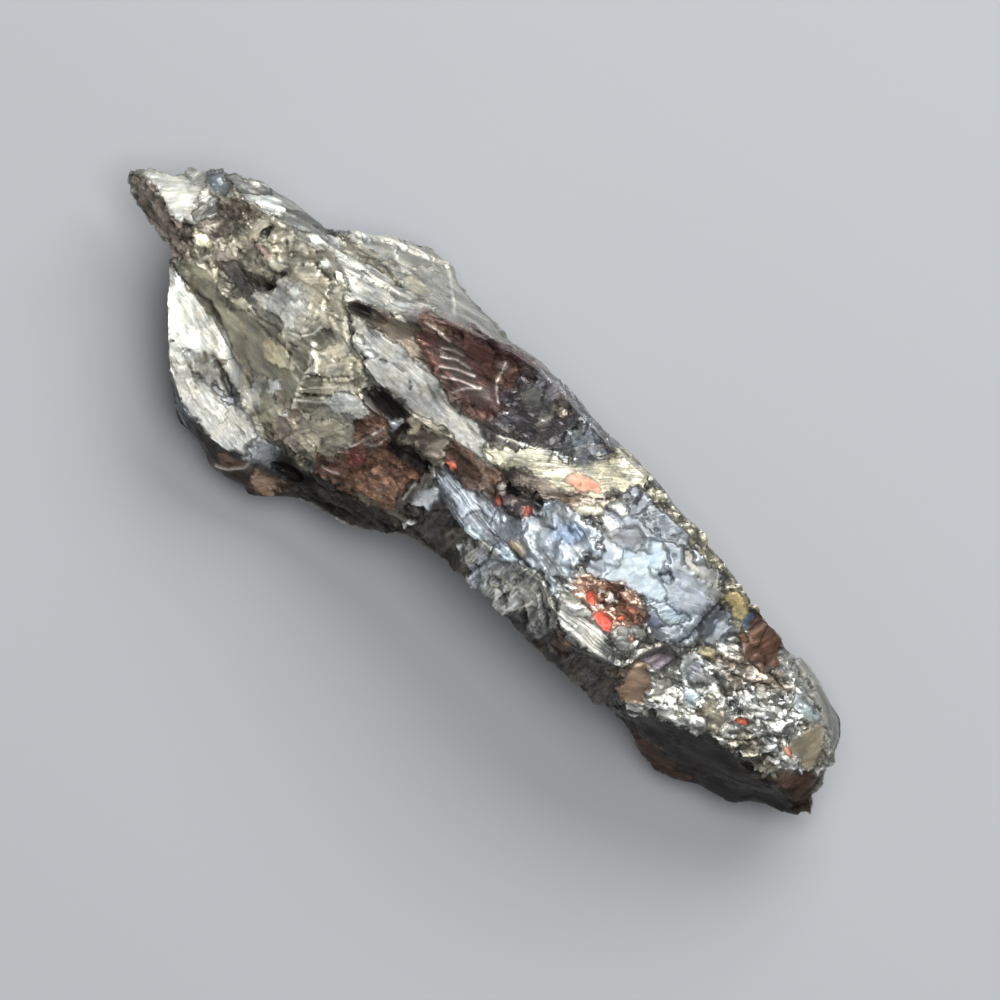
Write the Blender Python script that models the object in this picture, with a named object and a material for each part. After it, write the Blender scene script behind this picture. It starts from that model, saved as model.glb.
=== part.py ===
"""A raw, broken piece of elite shungite: one solid stone, about 61 mm long, lying as it was found.

The stone is surveyed in plan, as a mason would set out a rough block. Each line that the eye follows on it
(its outline, its crests, its grooves and its ledges) is a list of points with a height, and a triangulated
skin is stretched over those lines. A second skin below closes it down to a flat bed that it rests on. The
skins are cut fine, relaxed between the lines and broken up by a fracture relief, and last come the hollows
that flakes left when they sprang off.

The stone lies along X, with its beak at -X. +Z is up, and the origin is under the middle of its box, on
the surface that it rests on.
"""

import math

import bmesh
import bpy
from mathutils import Matrix, Vector, noise
from mathutils.geometry import delaunay_2d_cdt

MM = 0.001

# Driving values, in millimetres. The survey grid's own origin is near the middle of the stone.
GRID_TO_ORIGIN = Vector((-0.09, 1.09, 0.0))
LONGEST_EDGE = 1.45  # the upper skin is cut until no edge is longer
LONGEST_EDGE_BELOW = 2.7  # the same for the lower skin, whose facets are larger
RELAX_PASSES = 3  # smooths the faces between the surveyed lines
FLAKE_SIZE = 2.6  # the coarse fracture relief of the upper skin
FLAKE_DEPTH = 0.22
HACKLE_SIZE = 1.2  # its fine fracture relief
HACKLE_DEPTH = 0.11
FACET_SIZE = 6.0  # the fracture relief of the lower skin, in broad facets
FACET_DEPTH = 0.9
GRAIN = 0.6  # the relief is drawn out along X, as the stone's layers are, by one over this
BED_CLEARANCE = 0.9  # the relief fades out this close above the bed
CALM_SHARE = 0.25  # the share of the relief that is left in the middle of a calm spot

HOLLOW_FLAKE_SIZE = 0.85  # the relief inside a hollow, as shares of its smallest radius
HOLLOW_FLAKE_DEPTH = 0.22
LARGE_HOLLOW = 3.1  # from this smallest radius on, a hollow is cut with more facets

STONE_GREY = (0.30, 0.29, 0.27, 1.0)
STONE_ROUGHNESS = 0.34
STONE_METALLIC = 0.75

# The outline as seen from above, from the beak's tip along the north side (+Y) and back along the south.
RIM = [
    (-30.8, -0.4, 5.2), (-29.2, 0.8, 5.6), (-28.1, 2.0, 5.9), (-27.2, 2.9, 5.9), (-25.8, 4.1, 6.3),
    (-23.8, 4.8, 6.7), (-21.0, 5.3, 6.8), (-18.7, 5.4, 6.6), (-16.9, 6.4, 5.4), (-15.0, 7.6, 4.2),
    (-12.6, 8.5, 3.5), (-10.8, 9.2, 3.0), (-9.6, 8.5, 3.2), (-7.0, 8.4, 3.9), (-4.4, 8.2, 4.8),
    (-1.5, 8.4, 5.2), (0.8, 8.3, 5.4), (3.2, 7.9, 6.4), (5.8, 7.9, 8.2), (8.0, 7.6, 11.6),
    (10.5, 7.25, 12.2), (13.0, 6.95, 12.1), (15.2, 6.55, 11.8), (17.4, 6.15, 11.5), (19.4, 5.75, 10.9),
    (20.7, 5.55, 10.3), (22.0, 5.3, 9.5), (22.9, 4.8, 8.2), (24.4, 5.0, 6.8), (26.2, 4.6, 6.3),
    (28.2, 4.1, 5.8), (29.3, 3.3, 5.4), (29.8, 2.4, 5.2), (30.2, 0.8, 5.0), (30.5, -0.8, 4.6),
    (30.6, -1.8, 4.3), (29.9, -2.5, 4.0), (28.2, -3.1, 4.0), (27.2, -3.8, 3.7), (26.4, -4.7, 3.3),
    (24.2, -5.2, 3.1), (22.8, -6.0, 2.6), (21.3, -6.6, 2.4), (19.6, -6.3, 2.9), (17.6, -5.8, 4.6),
    (15.2, -5.8, 6.8), (12.6, -5.8, 7.6), (10.2, -6.0, 7.8), (7.4, -5.7, 8.2), (4.6, -5.75, 8.2),
    (2.0, -5.8, 8.0), (-0.6, -5.9, 7.2), (-2.2, -7.0, 5.6), (-4.0, -7.9, 4.9), (-5.2, -8.5, 4.3),
    (-7.2, -8.9, 3.9), (-8.4, -9.3, 3.6), (-9.4, -10.3, 3.2), (-10.6, -11.1, 2.9), (-12.2, -11.5, 2.7),
    (-14.0, -11.6, 2.6), (-15.3, -11.0, 2.8), (-17.2, -10.7, 3.0), (-18.8, -9.4, 4.4), (-20.2, -8.4, 6.0),
    (-21.4, -7.3, 6.4), (-22.6, -5.8, 6.3), (-23.8, -4.2, 5.9), (-24.7, -3.3, 5.5), (-26.2, -2.8, 5.2),
    (-27.6, -2.5, 5.0), (-28.8, -2.0, 5.0), (-29.9, -1.5, 5.0), (-30.5, -1.1, 5.0),
]

# Lines on the upper skin. A short one of a single point is a knob or a hollow.
UPPER_LINES = {
    "beak_ridge": [(-29.3, -0.45, 6.2), (-27.9, -0.5, 7.0), (-26.8, -0.95, 7.4), (-25.8, -0.5, 7.7)],
    "beak_shoulder": [(-25.8, -0.5, 7.7), (-26.1, 0.7, 8.0), (-26.5, 1.8, 7.6), (-27.0, 2.6, 6.5)],
    "head_crest": [
        (-25.2, 3.4, 7.6), (-24.3, 3.0, 8.2), (-22.8, 3.3, 8.6), (-21.2, 3.7, 8.9), (-19.6, 3.5, 9.3),
        (-18.2, 4.0, 9.6), (-16.4, 3.6, 10.3), (-15.2, 3.0, 10.8), (-14.4, 2.5, 11.2),
    ],
    "head_hollow": [
        (-24.8, 0.8, 6.9), (-24.0, 1.9, 7.1), (-22.9, 1.2, 7.4), (-21.8, 0.0, 7.3), (-20.4, -0.9, 7.5),
        (-19.4, -0.6, 7.8),
    ],
    "head_rib": [(-21.6, 2.3, 8.7), (-20.4, 1.4, 8.6), (-18.9, 1.3, 9.1)],
    "head_south_ridge": [
        (-25.9, -2.0, 6.4), (-24.2, -2.3, 6.9), (-22.6, -2.1, 7.6), (-20.8, -2.4, 7.8), (-18.8, -2.3, 8.3),
        (-16.6, -2.2, 9.2), (-14.6, -2.4, 10.0),
    ],
    "cheek_dome": [(-17.4, 0.4, 9.8)],
    "cheek_back": [(-15.4, 0.4, 10.7), (-13.6, -0.6, 11.1)],
    "dish_groove": [
        (-22.8, -3.5, 5.5), (-20.4, -4.0, 5.3), (-18.6, -4.7, 5.2), (-17.4, -5.0, 5.4), (-15.8, -5.6, 5.8),
        (-14.4, -6.6, 5.8), (-12.9, -7.3, 5.8), (-11.2, -7.3, 6.0),
    ],
    "dish_gash": [(-19.4, -6.7, 5.8), (-18.3, -6.2, 5.2), (-17.0, -6.4, 5.0), (-15.9, -6.95, 5.2)],
    "dish_shelf": [(-19.2, -7.7, 5.9), (-17.2, -7.4, 5.4), (-15.0, -7.7, 5.4)],
    "dish_lip": [
        (-19.3, -8.9, 6.1), (-17.7, -9.8, 6.0), (-15.2, -10.0, 5.9), (-13.2, -9.8, 5.7), (-11.5, -9.2, 5.4),
    ],
    "cheek_corner": [
        (-14.6, -2.4, 10.0), (-13.4, -4.2, 9.0), (-12.7, -5.8, 7.8), (-12.2, -6.8, 6.8),
    ],
    "cheek_face": [(-10.6, -1.9, 11.2), (-10.4, -4.3, 9.7), (-9.8, -6.6, 7.8)],
    "slot_top": [
        (-13.0, 0.7, 11.7), (-11.0, 0.45, 12.3), (-9.4, 0.1, 12.6), (-7.8, -0.05, 12.7), (-6.2, 0.0, 12.7),
        (-4.8, 0.15, 12.7), (-3.0, 0.65, 12.6), (-1.0, 1.0, 12.5), (0.7, 1.25, 12.4),
    ],
    "slot_floor": [(-9.3, -0.7, 11.4), (-7.8, -0.8, 11.3), (-6.8, -0.7, 11.4)],
    "slot_sill": [(-9.4, -1.5, 11.7), (-8.0, -1.5, 11.7), (-6.9, -1.35, 11.9)],
    "rust_top": [(-5.9, -2.3, 11.1), (-4.6, -2.3, 11.1), (-3.3, -2.4, 11.3)],
    "rust_knob": [(-5.2, -0.9, 12.3)],
    "rust_foot": [(-9.2, -7.2, 6.9), (-7.4, -7.0, 7.1), (-5.0, -6.4, 7.7), (-3.2, -6.0, 8.2)],
    "chips_back": [(-7.9, -7.9, 5.6), (-5.4, -7.4, 6.0)],
    "valley_floor": [
        (-14.4, 2.5, 11.2), (-12.2, 2.6, 11.4), (-10.0, 2.95, 11.6), (-7.2, 2.95, 11.6), (-4.8, 2.8, 11.6),
        (-2.6, 2.45, 11.6), (-0.9, 2.85, 11.6), (0.3, 3.3, 11.7), (2.0, 4.1, 11.8), (3.6, 5.05, 12.0),
        (5.0, 6.15, 12.5), (6.0, 7.15, 12.9),
    ],
    "north_crest": [
        (-14.4, 2.5, 11.2), (-12.6, 3.45, 12.0), (-11.2, 4.4, 12.5), (-10.2, 5.05, 12.9), (-8.5, 6.0, 13.3),
        (-5.7, 6.9, 13.8), (-4.0, 7.55, 14.0), (-2.4, 7.75, 14.0), (0.0, 7.65, 13.9), (2.5, 7.4, 13.7),
        (4.6, 7.2, 13.4), (6.0, 7.15, 12.9), (7.9, 7.2, 12.9),
    ],
    "scoop_middle": [(-9.6, 4.0, 11.8), (-6.6, 4.7, 12.1), (-3.4, 5.1, 12.3), (-0.4, 5.3, 12.4), (2.4, 5.9, 12.6)],
    "bright_ridge": [
        (0.7, 1.25, 12.4), (1.7, 2.0, 12.7), (3.2, 2.75, 13.1), (5.0, 3.2, 13.3), (6.4, 4.0, 13.5),
        (7.4, 5.2, 13.5), (7.9, 6.4, 13.3), (7.9, 7.2, 12.9),
    ],
    "brown_saddle": [(-2.6, -0.3, 12.0), (-0.6, -0.2, 12.1), (1.2, 0.0, 12.3)],
    "scale_top": [(4.6, 1.9, 13.0), (6.9, 2.5, 13.3), (8.8, 2.7, 13.4)],
    "scale_middle": [(4.0, -0.6, 12.8), (6.6, 0.2, 13.1), (8.7, 0.0, 13.3)],
    "table_edge": [
        (7.9, 6.4, 13.3), (10.0, 6.35, 12.95), (12.5, 6.15, 12.75), (14.6, 5.85, 12.5), (16.6, 5.3, 12.2),
        (17.2, 4.5, 12.1), (17.3, 2.6, 12.1), (17.4, 1.0, 12.2), (16.2, 0.2, 12.5),
    ],
    "table_middle": [(9.4, 4.6, 13.25), (12.6, 3.4, 13.05), (15.2, 2.6, 12.65)],
    "crust_edge": [(10.1, 0.2, 13.2), (11.6, 1.0, 13.2), (13.6, 0.6, 13.0), (14.8, -0.2, 12.9), (14.9, -1.6, 12.8)],
    "crust_floor": [(11.4, -0.6, 12.5), (13.2, -0.9, 12.4)],
    "crust_sill": [(9.0, -2.1, 13.1), (10.9, -1.7, 13.1), (12.9, -2.25, 12.9), (14.8, -2.5, 12.7)],
    "south_ridge": [
        (-3.3, -2.4, 11.3), (-2.2, -2.1, 12.0), (-0.6, -2.8, 12.2), (1.2, -3.2, 12.4), (3.5, -3.1, 12.6),
        (6.0, -2.75, 12.8), (8.0, -2.55, 13.0), (9.3, -3.3, 12.9), (10.6, -4.1, 12.7), (12.6, -3.75, 12.6),
        (14.6, -3.2, 12.4), (15.3, -3.3, 12.0), (16.2, -4.4, 11.2), (17.2, -4.95, 10.6),
    ],
    "flank_step": [
        (-2.4, -4.8, 9.4), (-0.6, -4.6, 9.8), (2.0, -4.7, 9.9), (4.8, -4.5, 10.2), (7.4, -4.4, 10.4),
        (10.2, -5.1, 10.0), (13.0, -4.9, 9.8), (15.4, -4.9, 9.2),
    ],
    "brown_table": [(15.6, -1.0, 12.3), (17.6, -2.0, 11.6)],
    "tail_edge": [
        (17.2, -4.95, 10.6), (18.3, -4.1, 10.7), (20.1, -3.4, 10.6), (21.2, -2.7, 10.5), (22.7, -2.45, 10.2),
        (23.8, -2.05, 9.9), (25.5, -2.2, 9.3), (27.2, -1.9, 8.3), (28.6, -2.0, 7.2), (29.7, -2.1, 5.9),
    ],
    "tail_step": [(17.6, 4.3, 11.5), (18.0, 2.5, 11.2), (18.0, 1.0, 11.5)],
    "tail_rust": [(19.4, 4.4, 10.8), (19.4, 2.6, 10.9), (20.9, 3.0, 10.7), (22.2, 3.9, 10.0)],
    "tail_spine": [(19.6, 0.4, 11.2), (21.8, 0.9, 10.8), (24.4, 1.0, 10.2), (26.6, 1.3, 9.4)],
    "tail_crest": [
        (22.8, 4.25, 9.4), (24.8, 3.75, 9.0), (26.4, 3.6, 8.5), (28.2, 3.2, 7.5), (29.1, 2.3, 6.9),
        (29.7, 1.0, 6.3), (29.9, -0.6, 5.9),
    ],
    "tail_pad": [(27.2, 2.6, 8.7), (28.1, 1.4, 8.1), (28.0, 0.0, 8.1)],
    "tail_south": [(24.0, -0.8, 10.0), (26.4, -0.6, 9.2)],
    "tail_ledge": [(18.6, -5.3, 7.0), (21.2, -4.6, 6.6), (24.4, -3.9, 6.2), (27.0, -3.0, 6.0)],
    "head_band": [(-24.6, 4.15, 7.2), (-22.0, 4.45, 7.8), (-19.4, 4.6, 8.2)],
    "north_strip_top": [
        (-18.2, 5.0, 8.0), (-15.2, 5.2, 9.2), (-12.2, 5.4, 10.2), (-9.6, 5.95, 11.3), (-7.2, 6.75, 12.3),
    ],
    "north_strip_foot": [(-17.2, 5.75, 6.8), (-14.8, 6.25, 7.6), (-12.2, 6.45, 8.3), (-9.8, 6.9, 9.0), (-7.0, 7.4, 9.6)],
    "skirt_fold": [(-13.2, 7.4, 5.6), (-10.8, 7.7, 6.0), (-8.4, 7.8, 6.4)],
    "north_wall": [(-4.4, 7.95, 9.0), (-1.2, 8.1, 9.4), (2.4, 7.75, 9.8), (5.4, 7.6, 10.6)],
}

# Lines on the lower skin: a belly that undercuts the outline, and the bed's own edge at height 0.
BELLY = [
    (-27.5, 0.2, 4.3), (-24.5, 3.0, 3.4), (-20.5, 4.2, 2.4), (-16.5, 5.2, 1.9), (-12.5, 7.3, 1.4),
    (-9.5, 7.5, 1.2), (-4.0, 7.3, 1.6), (1.0, 7.2, 1.8), (6.0, 6.9, 2.4), (11.0, 6.2, 3.2),
    (16.0, 5.3, 3.0), (20.5, 4.5, 2.6), (25.0, 3.7, 2.0), (28.0, 2.4, 2.2), (29.0, -0.4, 2.4),
    (27.6, -2.2, 2.0), (24.6, -4.0, 1.6), (21.4, -5.6, 1.1), (17.4, -4.8, 2.0), (12.0, -4.7, 3.4),
    (6.0, -4.6, 3.4), (1.0, -4.7, 2.8), (-3.4, -6.2, 1.9), (-7.5, -7.7, 1.4), (-10.5, -9.8, 1.1),
    (-14.5, -10.3, 1.0), (-18.0, -8.7, 2.0), (-21.4, -5.6, 2.8), (-23.4, -3.0, 3.0), (-26.2, -1.8, 3.9),
]
BED = [
    (-19.0, 1.2, 0.0), (-16.5, 3.2, 0.0), (-12.0, 5.6, 0.0), (-6.0, 5.9, 0.0), (1.0, 5.6, 0.0),
    (8.0, 5.0, 0.0), (14.0, 3.8, 0.0), (20.0, 2.8, 0.0), (24.2, 1.2, 0.0), (25.0, -1.2, 0.0),
    (22.6, -3.4, 0.0), (18.0, -3.4, 0.0), (12.0, -3.0, 0.0), (5.0, -3.0, 0.0), (-2.0, -4.4, 0.0),
    (-7.5, -6.4, 0.0), (-12.0, -8.4, 0.0), (-16.0, -7.6, 0.0), (-18.8, -4.6, 0.0), (-20.0, -1.6, 0.0),
]

# Calm spots of the upper skin, where it broke nearly smooth: (x, y, radius).
CALM_SPOTS = [
    (-28.2, 0.7, 2.4), (-21.6, -5.2, 3.0), (-17.2, -8.6, 2.8), (4.0, 3.6, 2.0), (6.8, 5.6, 2.0),
    (12.9, 3.6, 4.4), (9.6, 4.6, 2.6), (12.0, -2.9, 2.4), (28.1, 1.5, 1.6), (16.6, -2.8, 1.5),
]

# Hollows: (name, centre, radii, turn about Z in degrees). Each is part of an ellipsoid, as a flake leaves.
HOLLOWS = [
    ("beak_chip", (-26.0, 3.1, 8.6), (1.25, 0.95, 1.85), 20),
    ("head_pit_west", (-24.5, 1.0, 7.9), (1.15, 0.85, 1.3), 35),
    ("head_pit_north", (-23.1, 2.5, 8.7), (1.0, 0.5, 1.0), -18),
    ("head_pit_east", (-21.4, 2.3, 9.2), (0.4, 0.85, 1.1), 12),
    ("head_cleft", (-20.6, -0.6, 8.3), (1.7, 0.5, 0.9), -8),
    ("cheek_crack", (-18.9, 0.5, 9.6), (0.24, 0.95, 1.1), -14),
    ("dish_pit", (-9.9, -8.3, 5.9), (1.25, 0.55, 1.9), 14),
    ("slot", (-8.0, -0.65, 12.3), (2.1, 0.6, 1.2), -3),
    ("rust_notch", (-5.9, -1.4, 12.2), (0.4, 1.0, 1.2), 8),
    ("rust_hollow", (-4.4, -2.3, 11.7), (1.4, 0.6, 1.0), 0),
    ("valley_head", (-13.2, 2.9, 12.0), (1.8, 0.45, 1.2), 17),
    ("dark_pit", (2.8, 0.95, 13.0), (1.45, 0.8, 1.8), 12),
    ("dark_tail", (4.7, 2.4, 13.5), (1.5, 0.4, 0.9), 35),
    ("crust_west", (11.4, -0.5, 13.8), (1.7, 1.2, 1.5), -20),
    ("crust_east", (13.3, -0.3, 13.6), (1.6, 1.1, 1.4), 15),
    ("table_step", (18.1, 3.3, 12.3), (1.0, 1.6, 1.3), 0),
    ("tail_bite", (22.6, -0.2, 11.1), (1.1, 0.4, 0.9), -12),
    ("tail_nick", (20.6, -1.9, 11.2), (1.2, 0.4, 0.8), 8),
    ("south_scoop", (6.4, -7.7, 3.2), (8.4, 3.2, 3.8), 3),
    ("south_bite", (14.8, -7.4, 4.6), (4.2, 2.5, 3.2), -8),
    ("south_flake", (-1.4, -8.5, 2.6), (4.0, 2.6, 3.0), -20),
    ("dish_under", (-20.4, -9.0, 1.6), (4.4, 3.0, 2.7), -42),
    ("tail_under", (24.2, -6.8, 0.6), (4.2, 2.4, 1.9), 14),
    ("north_scoop", (2.6, 10.6, 6.2), (8.5, 3.1, 4.6), -3),
    ("north_bite", (14.2, 8.6, 6.6), (4.8, 2.4, 3.8), -8),
    ("north_flake", (-20.6, 7.0, 2.6), (4.4, 3.0, 2.8), 16),
    ("north_tail", (24.6, 6.6, 2.8), (4.0, 2.5, 2.5), -12),
    ("beak_throat", (-26.8, -0.2, 1.6), (5.2, 4.2, 3.0), 0),
    ("tail_throat", (29.0, 0.6, 0.4), (3.6, 3.4, 2.6), 0),
    ("bed_east", (9.0, 1.0, -7.0), (13.0, 5.6, 7.9), 6),
    ("bed_west", (-13.6, -1.6, -6.0), (8.0, 6.4, 6.8), 24),
    ("bed_tail", (20.4, -0.6, -5.2), (6.4, 4.4, 5.8), -14),
    ("bed_south", (-6.6, -6.8, -2.4), (5.6, 3.4, 3.6), 10),
    ("bed_north", (-3.6, 6.8, -2.0), (7.0, 3.2, 3.4), -4),
]


def clear_scene():
    for obj in list(bpy.data.objects):
        bpy.data.objects.remove(obj)


def stone_material():
    material = bpy.data.materials.new("shungite")
    material.use_nodes = True
    shader = material.node_tree.nodes["Principled BSDF"]
    shader.inputs["Base Color"].default_value = STONE_GREY
    shader.inputs["Roughness"].default_value = STONE_ROUGHNESS
    shader.inputs["Metallic"].default_value = STONE_METALLIC
    material.diffuse_color = STONE_GREY
    return material


def stretch_skin(body, rim_verts, loops, lines, facing_up):
    """Adds one triangulated skin inside the outline. Edges along the surveyed lines are marked as seams."""
    placed = {tuple(point): vert for point, vert in zip(RIM, rim_verts)}
    order = list(placed)
    known = {point: index for index, point in enumerate(order)}
    edges = [(i, (i + 1) % len(RIM)) for i in range(len(RIM))]
    for line, closed in [(loop, True) for loop in loops] + [(line, False) for line in lines]:
        for point in line:
            if point not in known:
                known[point] = len(order)
                order.append(point)
        ends = zip(line, line[1:] + line[:1]) if closed else zip(line, line[1:])
        edges += [(known[a], known[b]) for a, b in ends]
    plan = [Vector(point[:2]) for point in order]
    flat, flat_edges, triangles, source, _, _ = delaunay_2d_cdt(plan, edges, [], 1, 1e-4)
    if len(flat) != len(plan):
        raise ValueError("two surveyed lines cross or touch, so a height is missing there")
    verts = []
    for made in range(len(flat)):
        point = order[source[made][0]]
        verts.append(placed.get(point) or body.verts.new(point))
    for corners in triangles:
        ring = [verts[i] for i in corners]
        face = body.faces.new(ring)
        face.normal_update()
        if (face.normal.z > 0) != facing_up:
            face.normal_flip()
    surveyed = {frozenset((verts[index_of(source, a)], verts[index_of(source, b)])) for a, b in edges}
    for edge in body.edges:
        if frozenset(edge.verts) in surveyed:
            edge.seam = True


def index_of(source, wanted):
    """The triangulation may list its points in another order than they were given."""
    return next(made for made, given in enumerate(source) if wanted in given)


def longest_allowed(edge):
    faces_up = any(face.normal.z > 0.0 for face in edge.link_faces)
    return LONGEST_EDGE if faces_up else LONGEST_EDGE_BELOW


def cut_fine(body):
    """Splits long edges and triangulates again until no edge is too long."""
    while True:
        body.normal_update()
        long_edges = [edge for edge in body.edges if edge.calc_length() > longest_allowed(edge)]
        if not long_edges:
            return
        bmesh.ops.subdivide_edges(body, edges=long_edges, cuts=1)
        bmesh.ops.triangulate(body, faces=[face for face in body.faces if len(face.verts) > 3])


def relax_faces(body):
    """Rounds the faces between the surveyed lines, and leaves the lines sharp and the bed flat."""
    free = [
        vert for vert in body.verts
        if vert.co.z > 0.0 and not any(edge.seam for edge in vert.link_edges)
    ]
    for _ in range(RELAX_PASSES):
        bmesh.ops.smooth_vert(
            body, verts=free, factor=0.5, use_axis_x=True, use_axis_y=True, use_axis_z=True
        )


def flake_tilt(point, size):
    """Height, as a share of size, of a small tilted facet. Each cell of a Voronoi pattern has its own tilt."""
    scaled = Vector((point.x * GRAIN, point.y, point.z)) / size
    seed = noise.voronoi(scaled)[1][0]
    tilt = noise.cell_vector(seed * 31.7) * 2.0 - Vector((1.0, 1.0, 1.0))
    return (scaled - seed).dot(tilt)


def calm(point):
    """1 on ordinary broken stone, down to CALM_SHARE in the middle of a calm spot."""
    share = 1.0
    for x, y, radius in CALM_SPOTS:
        away = math.hypot(point.x - x, point.y - y) / radius
        share = min(share, CALM_SHARE + (1.0 - CALM_SHARE) * min(1.0, away ** 3))
    return share


def break_up(body):
    """Moves each point along its normal by the fracture relief. The bed stays flat."""
    body.normal_update()
    for vert in body.verts:
        fade = min(1.0, max(0.0, vert.co.z) / BED_CLEARANCE)
        if fade == 0.0:
            continue
        if vert.normal.z > 0.0:
            relief = FLAKE_DEPTH * flake_tilt(vert.co, FLAKE_SIZE)
            relief += HACKLE_DEPTH * flake_tilt(vert.co, HACKLE_SIZE)
            relief *= calm(vert.co)
        else:
            relief = FACET_DEPTH * flake_tilt(vert.co, FACET_SIZE)
        vert.co += vert.normal * relief * fade


def make_stone(frame):
    body = bmesh.new()
    rim_verts = [body.verts.new(point) for point in RIM]
    stretch_skin(body, rim_verts, [], list(UPPER_LINES.values()), facing_up=True)
    stretch_skin(body, rim_verts, [BELLY, BED], [], facing_up=False)
    cut_fine(body)
    relax_faces(body)
    break_up(body)
    bmesh.ops.triangulate(body, faces=body.faces[:])
    bmesh.ops.transform(body, matrix=Matrix.Scale(MM, 4), verts=body.verts)
    mesh = bpy.data.meshes.new("stone")
    body.to_mesh(mesh)
    body.free()
    stone = bpy.data.objects.new("stone", mesh)
    bpy.context.scene.collection.objects.link(stone)
    stone.parent = frame
    mesh.materials.append(stone_material())
    return stone


def make_hollow(name, centre, radii, turn, frame):
    """A roughened ellipsoid that cuts the stone. It is a helper, so it is left out of the render."""
    smallest = min(radii)
    ball = bmesh.new()
    bmesh.ops.create_icosphere(ball, subdivisions=4 if smallest > LARGE_HOLLOW else 3, radius=1.0)
    bmesh.ops.scale(ball, vec=Vector(radii), verts=ball.verts)
    bmesh.ops.rotate(ball, matrix=Matrix.Rotation(math.radians(turn), 3, "Z"), verts=ball.verts)
    bmesh.ops.translate(ball, vec=Vector(centre), verts=ball.verts)
    ball.normal_update()
    for vert in ball.verts:
        relief = flake_tilt(vert.co, smallest * HOLLOW_FLAKE_SIZE)
        vert.co += vert.normal * relief * smallest * HOLLOW_FLAKE_DEPTH
    bmesh.ops.transform(ball, matrix=Matrix.Scale(MM, 4), verts=ball.verts)
    mesh = bpy.data.meshes.new(name)
    ball.to_mesh(mesh)
    ball.free()
    cutter = bpy.data.objects.new(name, mesh)
    bpy.context.scene.collection.objects.link(cutter)
    cutter.parent = frame
    cutter.hide_render = True
    cutter.display_type = "WIRE"
    return cutter


def cut_hollow(stone, cutter):
    cut = stone.modifiers.new(cutter.name, "BOOLEAN")
    cut.operation = "DIFFERENCE"
    cut.object = cutter
    cut.solver = "EXACT"


def main():
    clear_scene()
    frame = bpy.data.objects.new("survey_grid", None)
    bpy.context.scene.collection.objects.link(frame)
    frame.location = GRID_TO_ORIGIN * MM
    stone = make_stone(frame)
    for name, centre, radii, turn in HOLLOWS:
        cut_hollow(stone, make_hollow(name, centre, radii, turn, frame))


main()
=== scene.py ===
# %% [markdown]
# # A raw piece of elite shungite
#
# Elite shungite is a natural carbon. It breaks like glass and shines like metal, so one stone shows
# silvery streaked faces, slate-blue scales, dark hollows, rusty crusts and a few orange specks.
#
# This lesson dresses one plain faceted solid. The solid already has the stone's outline, crests,
# ledges and hollows. The mesh made here adds what the eye finds next: the small steps, streaks,
# scales and cracks of each broken face, and the colour and gloss that go with them.

import math

import bmesh
import bpy
import numpy as np
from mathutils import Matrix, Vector, noise


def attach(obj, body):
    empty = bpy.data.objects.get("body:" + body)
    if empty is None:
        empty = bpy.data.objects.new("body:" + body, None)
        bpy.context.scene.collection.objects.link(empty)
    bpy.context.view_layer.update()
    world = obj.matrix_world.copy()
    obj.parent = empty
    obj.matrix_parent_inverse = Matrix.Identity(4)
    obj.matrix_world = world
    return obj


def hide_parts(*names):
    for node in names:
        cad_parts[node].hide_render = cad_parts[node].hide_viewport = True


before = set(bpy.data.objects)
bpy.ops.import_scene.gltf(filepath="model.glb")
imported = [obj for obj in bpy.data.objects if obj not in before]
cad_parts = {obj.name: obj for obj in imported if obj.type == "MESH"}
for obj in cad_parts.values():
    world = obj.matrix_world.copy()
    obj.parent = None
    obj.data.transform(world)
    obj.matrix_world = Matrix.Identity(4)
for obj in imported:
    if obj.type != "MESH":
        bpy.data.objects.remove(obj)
bpy.context.view_layer.update()

# %% [markdown]
# ## Units and the survey grid
#
# A stone this small is easier to describe in millimetres, on a grid of its own. The grid's X runs along
# the stone, from the pointed beak to the blunt tail, and its Y runs across it. The frame's origin is the
# middle of the stone's box, so the two differ by a fixed step. Colours are written as they look on a
# screen, from 0 to 255, and one function turns them into the linear values that a shader mixes.

# %% Units
MM = 0.001
GRID_ORIGIN = np.array((-0.09, 1.09, 0.0))  # where the grid's own origin lies in the frame, in mm


def to_grid(points):
    """Points of the frame, in metres, as points of the survey grid, in millimetres."""
    return points / MM - GRID_ORIGIN


def seen(red, green, blue):
    """A colour as it looks on a screen, made linear."""
    shares = np.array((red, green, blue)) / 255.0
    return np.where(shares <= 0.04045, shares / 12.92, ((shares + 0.055) / 1.055) ** 2.4)


# %% [markdown]
# ## The camera
#
# The stone is seen from straight above, lying from upper left to lower right. A camera two metres
# away with a very long lens keeps its plan true, as a survey drawing would.

# %% Camera
TURN = math.radians(42.0)  # how far the view is turned about the vertical
VIEW_CENTRE = (1.76, 0.81)  # the point of the frame in the middle of the picture, in mm
VIEW_HEIGHT = 2011.0  # how high the camera hangs over the floor, in mm
VIEW_WIDTH = 65.8  # how much is seen across the picture at the stone's top, in mm
STONE_TOP = 11.0  # the height over the floor at which that width is measured, in mm
FILM = 36.0  # the width of the camera's sensor, in mm

camera_data = bpy.data.cameras.new("camera")
camera_data.sensor_width = FILM
camera_data.lens = FILM * (VIEW_HEIGHT - STONE_TOP) / VIEW_WIDTH
camera_data.clip_start = 0.01
camera = bpy.data.objects.new("camera", camera_data)
bpy.context.scene.collection.objects.link(camera)
camera.location = Vector((*VIEW_CENTRE, VIEW_HEIGHT)) * MM
camera.rotation_euler = (0.0, 0.0, TURN)
bpy.context.scene.camera = camera
bpy.context.scene.view_settings.view_transform = "Standard"
print("lens", round(camera_data.lens, 1), "mm")

# %% [markdown]
# ## Floor and light
#
# The floor is a plain pale sheet. The light is what a window gives: one large soft source low on the
# stone's far side (+Y), so every face that leans that way turns silver, and a weak fill from all around.

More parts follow.
